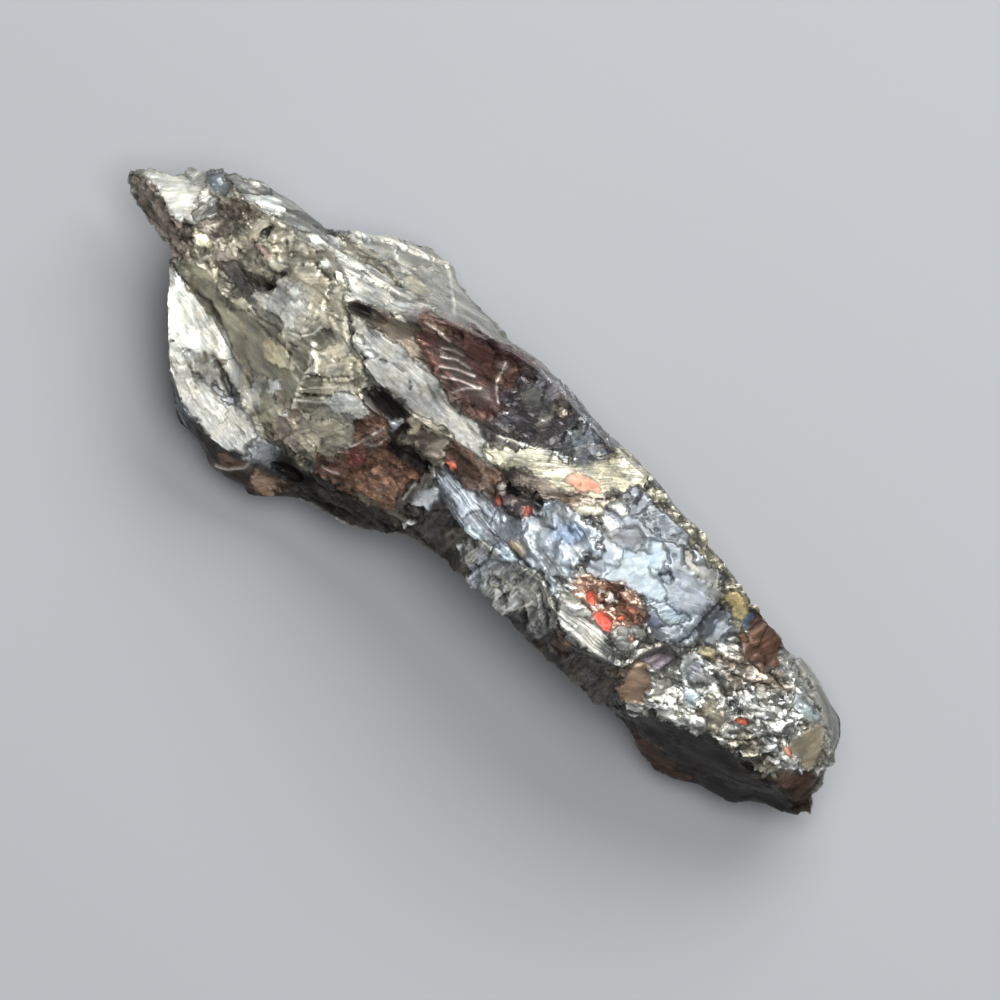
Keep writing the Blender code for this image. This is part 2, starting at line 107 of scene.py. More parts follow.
# %% Floor and light
FLOOR_SIZE = 900.0  # in mm
FLOOR_COLOUR = seen(158, 160, 163)
ROOM_COLOUR = (0.50, 0.52, 0.55, 1.0)
ROOM_LIGHT = 0.30


def plain_material(name, colour, roughness):
    """One flat colour with one roughness."""
    material = bpy.data.materials.new(name)
    material.use_nodes = True
    shader = material.node_tree.nodes["Principled BSDF"]
    shader.inputs["Base Color"].default_value = (*colour, 1.0)
    shader.inputs["Roughness"].default_value = roughness
    return material


def soft_box(name, azimuth, elevation, distance, width, height, power, colour=(1.0, 1.0, 1.0)):
    """A soft light that looks at the stone. Azimuth 0 is the +Y side, and the sizes are in mm."""
    turn, rise = math.radians(azimuth), math.radians(elevation)
    away = Vector((math.sin(turn) * math.cos(rise), math.cos(turn) * math.cos(rise), math.sin(rise)))
    data = bpy.data.lights.new(name, "AREA")
    data.shape = "RECTANGLE"
    data.size, data.size_y = width * MM, height * MM
    data.energy = power
    data.color = colour
    light = bpy.data.objects.new(name, data)
    bpy.context.scene.collection.objects.link(light)
    light.location = away * distance * MM
    light.rotation_euler = (-away).to_track_quat("-Z", "Y").to_euler()
    return light


sheet = bmesh.new()
bmesh.ops.create_grid(sheet, x_segments=1, y_segments=1, size=FLOOR_SIZE / 2 * MM)
floor_mesh = bpy.data.meshes.new("floor")
sheet.to_mesh(floor_mesh)
sheet.free()
floor_mesh.materials.append(plain_material("pale_sheet", FLOOR_COLOUR, 0.9))
floor = bpy.data.objects.new("floor", floor_mesh)
bpy.context.scene.collection.objects.link(floor)

soft_box("window", azimuth=-10, elevation=40, distance=500, width=420, height=260, power=2.8)
soft_box("ceiling", azimuth=20, elevation=80, distance=700, width=520, height=420, power=4.2)

world = bpy.data.worlds.new("room")
bpy.context.scene.world = world
world.use_nodes = True
room = world.node_tree.nodes["Background"]
room.inputs["Color"].default_value = ROOM_COLOUR
room.inputs["Strength"].default_value = ROOM_LIGHT

# %% [markdown]
# ## The blank
#
# The blank is a copy of the solid. Its triangles are loose, so they are merged first. They are also
# large, so the copy is cut finer in two rounds, with a gentle smoothing in between that rounds the
# facets but leaves the crests and the rims of the hollows. The upper skin, where the broken faces
# show best, gets triangles of about a fifth of a millimetre.

# %% Blank
HALF_CUT = 0.46  # the longest edge after the first round, in mm
FINE_CUT = 0.23  # the longest edge on the upper skin after the second round
FLANK_CUT = 0.42  # the same for the flanks
BELOW_CUT = 0.9  # and for the underside
CUT_ROUNDS = 5  # how many times the edges are cut at most in one round
UPPER_RISE = 0.1  # a face whose normal rises more than this is on the upper skin
FLANK_RISE = -0.6  # and one that rises more than this is on a flank
BED_TOP = 0.02  # points lower than this are the flat bed, in mm
CREST_ANGLE = math.radians(33.0)  # an edge that turns more than this is a crest or a rim
EASE_PASSES = 5  # how many times the points are smoothed
CREST_PASSES = 1  # and how many of those times the points on a crest move too
SLIVER = 0.02  # edges shorter than this are closed up, in mm


def cut_finer(body, up, side, down):
    """Splits edges and triangulates again until no edge is too long for the skin that it is on."""
    for _ in range(CUT_ROUNDS):
        body.normal_update()
        too_long = []
        for edge in body.edges:
            rise = max(face.normal.z for face in edge.link_faces)
            longest = up if rise > UPPER_RISE else side if rise > FLANK_RISE else down
            if edge.calc_length() > longest * MM:
                too_long.append(edge)
        if not too_long:
            return
        bmesh.ops.subdivide_edges(body, edges=too_long, cuts=1, use_single_edge=True, use_grid_fill=True)
        bmesh.ops.triangulate(body, faces=[face for face in body.faces if len(face.verts) > 3])
        print("  cut", len(too_long), "edges,", len(body.faces), "triangles")


def ease_facets(body):
    """Rounds the large facets. Points on a crest move less, and the flat bed doesn't move."""
    crest = {vert for edge in body.edges if edge.calc_face_angle(0.0) > CREST_ANGLE for vert in edge.verts}
    above = [vert for vert in body.verts if vert.co.z > BED_TOP * MM]
    for step in range(EASE_PASSES):
        moving = [vert for vert in above if step < CREST_PASSES or vert not in crest]
        bmesh.ops.smooth_vert(
            body, verts=moving, factor=0.5, use_axis_x=True, use_axis_y=True, use_axis_z=True)


body = bmesh.new()
body.from_mesh(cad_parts["stone"].data)
bmesh.ops.remove_doubles(body, verts=body.verts, dist=SLIVER * MM)
cut_finer(body, HALF_CUT, FLANK_CUT * 2.0, BELOW_CUT)
ease_facets(body)
cut_finer(body, FINE_CUT, FLANK_CUT, BELOW_CUT)
print("blank:", len(body.faces), "triangles")

# %% [markdown]
# ## Tools for drawing on the stone
#
# A broken face has an outline, so the drawing tools start from one question: how far is each point
# from a line on the plan? A closed line gives a signed distance, positive inside. A little noise is
# added to the plan first, and points are drawn in to the middle of small chips, so every outline gets
# the ragged, chipped course that a real fracture has.

# %% Drawing tools
RAGGED = ((0.22, 0.6), (0.10, 2.3))  # how far an outline wanders in mm, with how many waves a millimetre
JAGGED = ((0.95, 0.55), (0.40, 0.5))  # the size of a chip in mm, and the share by which it draws points in
DRAWN_OUT = np.array((0.6, 1.0, 1.0))  # chips are longer along X than across it
APART = 57.0  # a shift in the noise, so that a point's Y wanders apart from its X


def noise_at(points):
    """Smooth noise, about -1 to 1, at each point."""
    return np.array([noise.noise(point) for point in points.tolist()])


def smooth_step(low, high, values):
    """0 at low and 1 at high, with a soft start and end."""
    share = np.clip((values - low) / (high - low), 0.0, 1.0)
    return share * share * (3.0 - 2.0 * share)


def ragged_plan(points, strength):
    """The plan of the points, bent and drawn in so that a plain outline on it looks broken."""
    plan = points[:, :2].copy()
    for reach, waves in RAGGED:
        plan[:, 0] += strength * reach * noise_at(points * waves)
        plan[:, 1] += strength * reach * noise_at(points * waves + APART)
    for size, draw_in in JAGGED:
        seeds = [noise.voronoi(point)[1][0] for point in (points / size * DRAWN_OUT).tolist()]
        chips = np.array(seeds)[:, :2] * size / DRAWN_OUT[:2]
        plan += strength * draw_in * (chips - points[:, :2])
    return plan


def distance_to(plan, line):
    """The distance from each point of the plan to a line of several points."""
    nearest = np.full(len(plan), np.inf)
    for start, end in zip(line, line[1:]):
        start, end = np.array(start), np.array(end)
        run = end - start
        share = np.clip((plan - start) @ run / (run @ run), 0.0, 1.0)
        nearest = np.minimum(nearest, np.hypot(*(plan - start - share[:, None] * run).T))
    return nearest


def depth_inside(plan, outline):
    """The distance to a closed outline, positive inside it and negative outside."""
    closed = list(outline) + [outline[0]]
    inside = np.zeros(len(plan), bool)
    for (x0, y0), (x1, y1) in zip(closed, closed[1:]):
        if y0 != y1:
            spans = (plan[:, 1] < y0) != (plan[:, 1] < y1)
            inside ^= spans & (plan[:, 0] < x0 + (plan[:, 1] - y0) * (x1 - x0) / (y1 - y0))
    away = distance_to(plan, closed)
    return np.where(inside, away, -away)


def along_grain(points, angle, rise=1.0):
    """Points turned so that their first coordinate runs along the grain, which lies at angle to X. A
    small rise draws the pattern out up and down as well, for columns on a steep flank."""
    turn = math.radians(angle)
    along = points[:, 0] * math.cos(turn) + points[:, 1] * math.sin(turn)
    across = points[:, 1] * math.cos(turn) - points[:, 0] * math.sin(turn)
    return np.column_stack((along, across, points[:, 2] * rise))


# %% [markdown]
# ## The ways it breaks
#
# A few kinds of broken surface cover this stone. Each is a function from a point, already turned
# along its grain, to a height in millimetres. The most useful one is the tilted cell: space is split
# into cells, and every cell is a small flat face with a tilt of its own, as in a real fracture.

# %% Kinds of broken surface
PLATE = 1.5  # the width of a plate across the grain, in mm
PLATE_STRETCH = 1.7  # how many times longer it is along the grain
PLATE_SLOPE = 0.12
PLATE_SEAM = 0.07  # how wide the dark seam between plates is, as a share of PLATE
TREAD = 0.72  # the share of a step that is flat
PIT_CELL = 1.5  # how far apart the pits are, in mm
PIT_EDGE = (0.34, 0.16)  # where a pit starts and ends, as a share of PIT_CELL from its middle
PIT_DEPTH = 0.18  # in mm

# A cell's middle times one of these gives the cell random numbers of its own.
TILT_SEED, PLATE_SEED, TONE_SEED, FLANK_SEED = 31.7, 19.3, 7.1, 17.3


def own_tilt(seed):
    """The tilt of one cell, from -1 to 1 each way."""
    return noise.cell_vector(seed) * 2.0 - Vector((1.0, 1.0, 1.0))


def tilted_cells(points, size, slope, stretch=1.0):
    """Small flat faces of about that size in mm, each tilted its own way by up to about that slope."""
    scaled = points / size
    scaled[:, 0] /= stretch
    heights = []
    for point in scaled.tolist():
        seed = noise.voronoi(point)[1][0]
        heights.append((Vector(point) - seed).dot(own_tilt(seed * TILT_SEED)))
    return np.array(heights) * size * slope


def waves_at(points, along, across):
    """Noise drawn out along the grain, with so many waves a millimetre along and across it."""
    return noise_at(points * np.array((along, across, across)))


def terraces(values, rise):
    """Turns a smooth height into steps, each with a flat tread and a short steep riser."""
    level = np.floor(values)
    return (level + smooth_step(TREAD, 1.0, values - level)) * rise


def plates(points):
    """Broad flat plates of two or three millimetres: their height, and a tone from -1 to 1 for each."""
    height, tone = [], []
    for point in (points / PLATE * (1.0 / PLATE_STRETCH, 1.0, 1.0)).tolist():
        (near, far, *_), (seed, *_) = noise.voronoi(point)
        height.append((Vector(point) - seed).dot(own_tilt(seed * PLATE_SEED)))
        seam = math.exp(-(((far - near) / PLATE_SEAM) ** 2))
        tone.append(noise.cell(seed * TONE_SEED) * 2.0 - 1.0 - seam)
    return np.array(height) * PLATE * PLATE_SLOPE, np.array(tone)


# In the kinds below, heights are in mm, waves_at has its waves a millimetre along and across the grain,
# terraces end in the rise of a step, and tilted_cells has a size in mm, a slope and a stretch.
def smooth_break(points):
    return 0.02 * waves_at(points, 0.5, 0.9) + terraces(2.0 * waves_at(points, 0.2, 0.5), 0.024)


def columned_break(points):
    return terraces(2.6 * waves_at(points, 0.15, 1.0), 0.13) + 0.05 * waves_at(points, 0.35, 2.8)


def streaked_break(points):
    steps = terraces(3.0 * waves_at(points, 0.12, 0.62), 0.05)
    return steps + 0.04 * waves_at(points, 0.22, 1.8) + 0.03 * np.abs(waves_at(points, 0.4, 3.0))


def scaly_break(points):
    return tilted_cells(points, 1.1, 0.12, 1.4) + tilted_cells(points, 0.5, 0.07, 1.4)


def hackly_break(points):
    return tilted_cells(points, 0.85, 0.42, 2.4) + tilted_cells(points, 0.45, 0.28, 1.8)


def wrinkled_break(points):
    folds = terraces(2.8 * waves_at(points, 0.22, 0.75), 0.075)
    return folds + 0.05 * waves_at(points, 0.35, 1.7) + tilted_cells(points, 0.7, 0.10, 2.2)


def crusted_break(points):
    lumps = 0.15 * waves_at(points, 0.8, 1.3) + 0.05 * waves_at(points, 1.8, 2.8)
    return lumps + tilted_cells(points, 0.55, 0.24, 1.7)


def pitted_break(points):
    holes = np.array([noise.voronoi(point)[0][0] for point in (points / PIT_CELL).tolist()])
    sunk = wrinkled_break(points) - PIT_DEPTH * smooth_step(*PIT_EDGE, holes)
    return sunk + tilted_cells(points, 0.7, 0.28, 1.4)


# %% [markdown]
# ## Finishes
#
# A finish is a kind of broken surface with its gloss: the rougher the break, the duller it looks.
# Rust and crust hardly shine at all, so their metallic share is low.

# %% Finishes
# name: (kind of surface, roughness, metallic share, strength of plates, of flakes, of streaks, flake size)
FINISHES = {
    "mirror": (smooth_break, 0.36, 0.30, 0.15, 0.05, 0.15, 2.0),
    "smooth": (smooth_break, 0.34, 0.50, 0.50, 0.15, 0.35, 2.0),
    "glassy": (smooth_break, 0.30, 0.45, 0.22, 0.10, 0.22, 2.6),
    "satin": (streaked_break, 0.36, 0.45, 0.40, 0.10, 0.50, 1.4),
    "columned": (columned_break, 0.30, 0.45, 1.00, 0.40, 1.00, 1.2),
    "layered": (streaked_break, 0.36, 0.40, 0.70, 0.45, 0.90, 0.85),
    "glossy": (scaly_break, 0.22, 0.60, 0.70, 0.85, 0.30, 1.6),
    "rusty": (crusted_break, 0.55, 0.15, 0.90, 0.60, 0.45, 1.1),
    "streaked": (streaked_break, 0.34, 0.50, 0.60, 0.15, 0.90, 1.2),
    "scaly": (scaly_break, 0.30, 0.50, 0.60, 0.35, 0.30, 1.5),
    "hackly": (hackly_break, 0.32, 0.50, 0.80, 0.95, 0.20, 1.7),
    "wrinkled": (wrinkled_break, 0.38, 0.45, 1.00, 0.30, 0.50, 1.8),
    "pitted": (pitted_break, 0.42, 0.40, 0.90, 0.50, 0.30, 1.6),
    "crusted": (crusted_break, 0.58, 0.20, 0.80, 0.60, 0.30, 1.3),
    "speck": (crusted_break, 0.55, 0.00, 0.10, 0.15, 0.00, 1.0),
}

# The stone's colours, as they look in window light.
SILVER = seen(232, 232, 220)
CREAM = seen(232, 226, 198)
STONE_GREY = seen(176, 176, 168)
OLIVE = seen(156, 151, 134)
SLATE_BLUE = seen(152, 159, 165)
PALE_BLUE = seen(198, 214, 221)
TAUPE = seen(112, 103, 92)
BROWN = seen(104, 82, 68)
RUST = seen(111, 82, 67)
CHARCOAL = seen(90, 87, 89)
COAL = seen(48, 44, 42)
TAN = seen(176, 164, 138)
ORANGE = seen(238, 120, 84)
SALMON = seen(236, 160, 130)
GOLD = seen(170, 155, 112)

EDGE = 0.07  # how wide the edge of a face is where nothing else is said, in mm
patches = []


def patch(name, colour, finish, grain, outline, light=1.0, lean=(0.0, 0.0), drop=0.0, soft=EDGE):
    """Notes one broken face. light scales its colour, lean is its extra slope down along X and Y, drop
    sinks it by so many mm, and soft is how wide its edge is."""
    brightest = 1.0 / max(colour)  # past this a light colour would turn white
    patches.append((name, colour * min(light, brightest), finish, grain, outline, lean, drop, soft))


# %% [markdown]
# ## The head
#
# The beak is a bright streaked face over a dull brown one. Behind it the head is rough and pitted,
# with a light band along its north side and two cream spots low on its south side.

# %% Head
patch("head", OLIVE, "wrinkled", 12, [
    (-31.5, -1), (-26, 5), (-18, 6), (-9, 6), (-8.4, 0), (-8.2, -7.5), (-13, -7.6), (-18, -6), (-25, -4)
], light=1.33)
patch("beak_under", TAUPE, "pitted", 8, [
    (-31.2, -0.5), (-29, -0.45), (-27.6, -0.5), (-26.7, -0.8), (-25.9, -0.5), (-25, -0.9), (-23.8, -1.6),
    (-24.6, -3.1), (-27.5, -3), (-31, -1.6)], light=2.6)
patch("head_rough", OLIVE, "pitted", 30, [
    (-25.2, -0.6), (-24.9, 1.6), (-25.2, 2.6), (-23.6, 3.3), (-21.5, 3.4), (-19.4, 3.6), (-18.6, 2),
    (-18.9, 0.4), (-18.9, -1), (-21, -1.9), (-23, -1.8)], light=1.75, soft=0.3)
patch("head_pocket", COAL, "pitted", 40, [
    (-25, 0.9), (-24.2, 2.2), (-23, 2.9), (-22.7, 2), (-23.2, 1.1), (-23, 0.2), (-24.3, 0.3)
], light=2.2, soft=0.3)
patch("brow_shade", TAUPE, "pitted", 35, [
    (-25.6, -2), (-25.7, -0.5), (-25, 0.8), (-24.4, 2.5), (-22.9, 3.1), (-22.4, 2.7), (-23.1, 1.5),
    (-22.7, 0.6), (-23.1, -0.1), (-24, -0.2), (-24.7, -0.8), (-24.8, -2.1)], light=1.9, soft=0.25)
patch("head_shade", TAUPE, "wrinkled", 30, [
    (-23.5, -1.4), (-22.4, 0.3), (-20.4, 0), (-19.2, 1.1), (-18.1, 1), (-18.2, -0.4), (-18.7, -1.4),
    (-20.3, -1.6), (-21.8, -1.6)], light=0.95, soft=0.25)
patch("head_ridge", OLIVE, "wrinkled", 40, [
    (-20.4, 2.7), (-18.8, 3.8), (-15.9, 3.3), (-15.7, 2.1), (-17.5, 1.6), (-19.1, 1.6)], light=1.3, soft=0.2)
patch("head_plate", OLIVE, "smooth", 80, [
    (-22.5, 1.6), (-22.4, 2.7), (-21.8, 3.1), (-21.4, 2.8), (-21.6, 1.7), (-22, 1.3)], light=3)
patch("head_pink", seen(196, 172, 160), "wrinkled", 10, [
    (-21.6, 1.3), (-20.8, 1.8), (-20, 1.7), (-19.9, 1.3), (-20.8, 1.2)], light=3.6)
patch("head_dark_fold", COAL, "wrinkled", -6, [
    (-22.4, -1.3), (-21.8, -0.3), (-20.6, -0.1), (-19.2, -0.3), (-18.9, -1.4), (-19.8, -2), (-21.4, -1.7)
], light=1.1, soft=0.25)
patch("beak_face", SILVER, "satin", 42, [
    (-30.9, -0.4), (-30.2, 0.5), (-28.3, 2.1), (-26.9, 1.9), (-26.3, 0.9), (-25.8, -0.3), (-26.6, -0.85),
    (-27.6, -0.5), (-29, -0.42)], light=1.05, lean=(0.0, 0.1), drop=-0.05)
patch("beak_collar", STONE_GREY, "streaked", 75, [
    (-28.4, 2.1), (-27, 3.2), (-26.2, 2.4), (-25.1, 2.3), (-24.9, 0.6), (-25.4, -0.3), (-25.9, -0.1),
    (-26.3, 0.9), (-26.9, 1.9)], light=1.25)
patch("beak_chip", seen(92, 98, 100), "glassy", 60, [
    (-26.9, 2.8), (-26.1, 3.5), (-25, 3.45), (-24.8, 2.5), (-25.6, 2.3), (-26.3, 2.4)], light=1.7)
patch("cream_spot_west", CREAM, "smooth", 20, [
    (-24.9, -1), (-24.3, -0.1), (-23.9, -0.3), (-23.6, -0.8), (-24.2, -1.2)], light=0.9, soft=0.12)
patch("cream_spot_south", CREAM, "smooth", 15, [
    (-24.4, -2.9), (-23.5, -2.3), (-22.7, -1.5), (-21.9, -1.7), (-21.2, -2.3), (-22.2, -2.9), (-23.4, -3)
], lean=(0.0, 0.25), light=2.9, soft=0.12)
patch("north_band", STONE_GREY, "wrinkled", 16, [
    (-27.2, 3.1), (-25.6, 4.8), (-22, 5.8), (-18, 5.9), (-16.6, 4.9), (-17.4, 3.9), (-19.4, 4), (-21, 3.5),
    (-22.5, 3.6), (-24.8, 3.4), (-26.3, 3.6)], light=0.95, soft=0.15)

# %% [markdown]
# ## The cheek and the dish
#
# The cheek is wrinkled and olive grey. Below it lies the brightest face of the stone, a silver
# triangle that leans towards the light, then a dark gash and a second streaked face, and last a row
# of brown chips along the foot.

# %% Cheek and dish
patch("cheek_dome", STONE_GREY, "wrinkled", 5, [
    (-19, -0.1), (-18.6, 0.9), (-17.9, 1.5), (-16.6, 1.5), (-15.6, 0.3), (-15.9, -1), (-17.4, -1.7),
    (-18.8, -1.3)], light=2, soft=0.3)
patch("cheek_band", OLIVE, "smooth", -6, [
    (-23.2, -3), (-21.5, -2.3), (-18.5, -2.3), (-16, -2.5), (-14, -2.6), (-12.8, -3.4), (-13.4, -4.8),
    (-15.5, -4.9), (-17.6, -4.8), (-19.3, -4), (-21.5, -3.4)], light=1.5, soft=0.2)
patch("cheek_tan", TAN, "smooth", 0, [
    (-17.1, -2.9), (-15.9, -2.6), (-14.8, -2.65), (-14.3, -3.1), (-14.7, -3.7), (-15.9, -3.5)
], light=2.2, lean=(0.0, 0.08))
patch("cheek_east", OLIVE, "wrinkled", 52, [
    (-13.6, 0.6), (-10.6, 0.1), (-9.7, -0.4), (-9.6, -1.4), (-8.6, -2), (-8.5, -3.2), (-8.1, -4.4),
    (-8.7, -6.8), (-10.8, -6.6), (-12.4, -5), (-13.2, -2.6)], light=1.95, soft=0.2)
patch("cheek_pale", STONE_GREY, "wrinkled", 45, [
    (-11.2, -2.4), (-9.9, -1.5), (-8.7, -1.9), (-8.6, -3.1), (-9.8, -3.1), (-10.9, -3)], light=1.7, soft=0.2)
patch("fold_shade", TAUPE, "wrinkled", 60, [
    (-12.9, -4.9), (-12, -4.8), (-11.2, -5.6), (-10.6, -6.4), (-11, -7.4), (-12.6, -7.3), (-12.9, -6.2)
], light=2.6, soft=0.2)
patch("sliver_west", STONE_GREY, "smooth", -50, [
    (-17.5, -5.2), (-16.8, -5), (-16, -5.9), (-15.2, -6.6), (-16.4, -6.3), (-17.5, -6)
], light=2.6, lean=(0.0, 0.1))
patch("sliver_row", OLIVE, "smooth", 80, [
    (-15.4, -5.2), (-14.9, -5), (-13.3, -5.1), (-13, -5.9), (-13.6, -7), (-14.6, -7.1), (-15, -6.2)
], light=1.9)
patch("sliver_edge", SILVER, "smooth", 80, [
    (-15, -5.1), (-14.6, -5.1), (-14.8, -6.2), (-15.05, -6.4)], light=2.5, drop=-0.04)
patch("sliver_cream", CREAM, "smooth", 75, [
    (-13.2, -5.2), (-12.75, -5.3), (-12.7, -6.6), (-13.2, -7.1), (-13.6, -6.8), (-13.3, -6)
], light=2.2, lean=(0.05, 0.1))
patch("fan", STONE_GREY, "smooth", 20, [
    (-15.6, -6.3), (-15.6, -5.1), (-14.3, -4.2), (-13.9, -4.7), (-14.2, -5.8), (-14.6, -6.8)
], light=1.9, drop=-0.05)
patch("fan_low", CREAM, "smooth", 15, [
    (-14.1, -6.8), (-13.2, -5.5), (-12.6, -5.7), (-12.6, -6.7), (-13.4, -7.1)], light=2.2, drop=-0.05)
patch("white_face", SILVER, "satin", -12, [
    (-24.7, -3.3), (-23, -3.7), (-21.5, -3.75), (-20, -4.1), (-17.6, -4.9), (-18, -5.7), (-18.7, -6.2),
    (-19.7, -6.5), (-19.6, -7.4), (-20.1, -8.6), (-22, -8), (-24.4, -5.6)], light=0.78)
patch("gash_lens", STONE_GREY, "smooth", -22, [
    (-19.7, -6.5), (-18.5, -6.15), (-17.5, -6.1), (-16.5, -6.35), (-15.5, -6.95), (-15.9, -7.2),
    (-17.4, -7.2), (-18.9, -7.35), (-19.5, -7.15)], light=0.65)
patch("dish_face", STONE_GREY, "satin", -12, [
    (-20.1, -7.7), (-18.9, -7.4), (-17, -7.3), (-14.6, -7.4), (-13, -7.7), (-12.6, -8.8), (-13, -9.7),
    (-15, -9.95), (-16.8, -9.95), (-18.4, -9.4), (-19.8, -8.8)], light=0.58)
patch("dish_white", SILVER, "satin", -15, [
    (-18.9, -8.3), (-17, -7.7), (-15.6, -8), (-15.2, -8.8), (-16.6, -9.2), (-18.4, -9)
], light=0.42, soft=0.25)
patch("blue_grey_face", seen(134, 138, 142), "smooth", 70, [
    (-12.9, -7.7), (-11, -7.5), (-10.8, -8.9), (-12, -9.2), (-12.7, -8.9)], light=1.1)
# Taupe chips along the south foot, darkened further as painted shade.
patch("foot_chips", TAUPE, "smooth", -60, [
    (-17.6, -10.1), (-15, -10), (-13, -9.75), (-12.4, -9.6), (-11.5, -9.3), (-8.4, -8.9), (-9, -11),
    (-12, -12), (-16, -12)], light=0.3)
patch("chip_brown", BROWN, "smooth", 25, [
    (-13.6, -10), (-12.3, -9.6), (-12.2, -10.3), (-13.6, -11), (-13.9, -10.6)], light=1.3)
patch("chip_orange", seen(128, 106, 88), "wrinkled", 45, [
    (-11.6, -9.5), (-9.3, -9), (-9.2, -9.8), (-10.3, -10.6), (-11.4, -10.9)], light=1.8)

# %% [markdown]
# ## The north side
#
# A light streaked strip runs down the far side of the head and ends in a skirt, a low ledge of pale
# stone that is the stone's widest point.

# %% North side
patch("skirt", STONE_GREY, "smooth", 18, [
    (-18.6, 5.3), (-16, 7.4), (-13, 9.2), (-10.6, 10), (-8, 9.2), (-3.4, 9), (-3.6, 7.7), (-5.6, 6.9),
    (-8.6, 6), (-10.3, 5.2), (-12, 5.9), (-15, 6)], light=0.76)
patch("skirt_plate_west", STONE_GREY, "smooth", 30, [
    (-17, 6.2), (-15, 7.5), (-13.6, 7), (-14.2, 6.3), (-15.6, 6.2)], light=0.75)
patch("skirt_plate_mid", STONE_GREY, "smooth", 15, [
    (-13.6, 7), (-12.4, 7.3), (-11.4, 8.6), (-13, 8.1), (-14.8, 7.6)], light=1)
patch("skirt_plate_east", STONE_GREY, "smooth", -30, [
    (-12.4, 7.3), (-11.1, 8.8), (-10, 8), (-9.2, 7.4), (-10.6, 6.8)], light=0.95)
patch("skirt_shade", OLIVE, "smooth", 10, [
    (-15, 6.2), (-12.2, 6.3), (-10.4, 6), (-9.6, 6.6), (-11.8, 6.9), (-13.8, 6.9)], light=1.7)
patch("skirt_light", STONE_GREY, "wrinkled", 20, [
    (-14, 6.3), (-13.3, 6.9), (-12.4, 6.8), (-12.6, 6.2), (-13.4, 6)], light=1.3)
patch("north_strip", STONE_GREY, "streaked", 6, [
    (-18.4, 5), (-17.2, 4), (-15.9, 4.1), (-14.6, 3.2), (-14.4, 2.5), (-12.6, 3.4), (-11.1, 4.3), (-10.2, 5),
    (-10, 5.9), (-12, 5.8), (-15, 5.5)], light=1.05)
# A painted highlight: white streaks where the strip glints.
patch("strip_glint", SILVER, "streaked", 5, [
    (-17.2, 4.8), (-15, 5), (-13.6, 5.1), (-13.6, 4.8), (-15.4, 4.7), (-17, 4.6)], light=0.95)
patch("strip_shade", OLIVE, "streaked", 8, [
    (-18.7, 5.2), (-17.2, 5.85), (-14.8, 6.3), (-12.2, 6.2), (-13, 5.75), (-15.6, 5.6)], light=0.9)

# %% [markdown]
# ## The scoop
#
# The largest hollow of the upper skin is a conchoidal scoop, as glass breaks. Its shaded wall is taupe,
# maroon and charcoal, with fine ripples, and a light streaked band runs along its near lip.

# %% Scoop
patch("scoop_charcoal", CHARCOAL, "glossy", 62, [
    (-2.9, 7.9), (0, 8.2), (3, 7.8), (6, 7.35), (5.2, 6.4), (3.6, 5), (2, 4), (0, 3.25), (-1, 2.9),
    (-2.6, 2.5), (-3, 4), (-2.5, 5.5)], soft=0.25, light=2.2)
patch("scoop_blue", SLATE_BLUE, "glossy", 60, [
    (2.4, 7.2), (4.4, 7.2), (5.2, 6.6), (4, 5.5), (2.6, 5.3), (2.2, 6.2)], light=1.3, soft=0.2)
patch("scoop_light", STONE_GREY, "scaly", 55, [
    (-0.4, 4.6), (0, 5.6), (0.9, 6.4), (0.9, 5.6), (0.3, 4.8)], light=1.2, soft=0.2)
patch("scoop_grey", CHARCOAL, "glossy", 20, [
    (-2.3, 4.6), (-1.2, 5.6), (0.2, 5.4), (0.3, 4.6), (-0.8, 3.7), (-2.2, 3.6)], soft=0.15, light=1.9)
patch("scoop_pale", STONE_GREY, "smooth", 50, [
    (-1.9, 5.9), (-1.4, 6.8), (-0.3, 6.9), (-0.4, 5.9), (-1.2, 5.5)], light=0.75, soft=0.15)
patch("scoop_brown", TAUPE, "hackly", 60, [
    (0.1, 7.4), (0.3, 6.6), (1.4, 6.5), (1.6, 7.3), (0.8, 7.6)], light=1.6, soft=0.12)
patch("scoop_dark_low", COAL, "glossy", 25, [
    (-2.4, 3.6), (-0.9, 3.6), (0.9, 4.2), (2.4, 4.9), (2, 4.4), (0, 3.3), (-1.4, 3)], light=1.7, soft=0.12)
patch("scoop_maroon", seen(96, 68, 62), "wrinkled", 20, [
    (-10.6, 5.1), (-8.6, 6.4), (-5.6, 7.3), (-4, 8), (-2.6, 8.1), (-2.3, 6.4), (-2.6, 5), (-2.2, 4),
    (-2.8, 2.8), (-5, 2.8), (-6.6, 3), (-8, 3.5), (-9.6, 4.4)], light=1.6, soft=0.3)
patch("scoop_rippled", seen(124, 110, 104), "smooth", 20, [
    (-8.3, 4.6), (-7.5, 5.4), (-5.3, 5.1), (-3.6, 4.7), (-2.7, 4), (-3.4, 3.3), (-4.6, 3.2), (-6.2, 3.6),
    (-7.5, 4)], light=0.7, soft=0.3)
patch("scoop_crest", BROWN, "rusty", 20, [
    (-10.6, 4.8), (-9.2, 5.8), (-7.8, 6.3), (-7.7, 5.5), (-8.8, 4.9), (-9.8, 4.4)], light=1.1, soft=0.15)
patch("scoop_sheen", SLATE_BLUE, "glossy", 60, [
    (1.9, 5.6), (2.9, 7.4), (4.4, 7.1), (3.8, 5.6), (2.7, 5)], light=1.3, soft=0.1)
patch("scoop_dark_mid", seen(60, 44, 46), "glossy", 30, [
    (-7.6, 6.9), (-5, 7.3), (-3.6, 7.8), (-1.8, 7.3), (-2.6, 6.3), (-4.8, 6.3), (-6.4, 6.3)
], light=1.2, soft=0.25)
patch("scoop_red", RUST, "rusty", 30, [
    (-5, 6), (-4.4, 7.2), (-3.2, 7.4), (-2.9, 6), (-3.6, 5), (-4.4, 5.2)], light=0.6, soft=0.25)
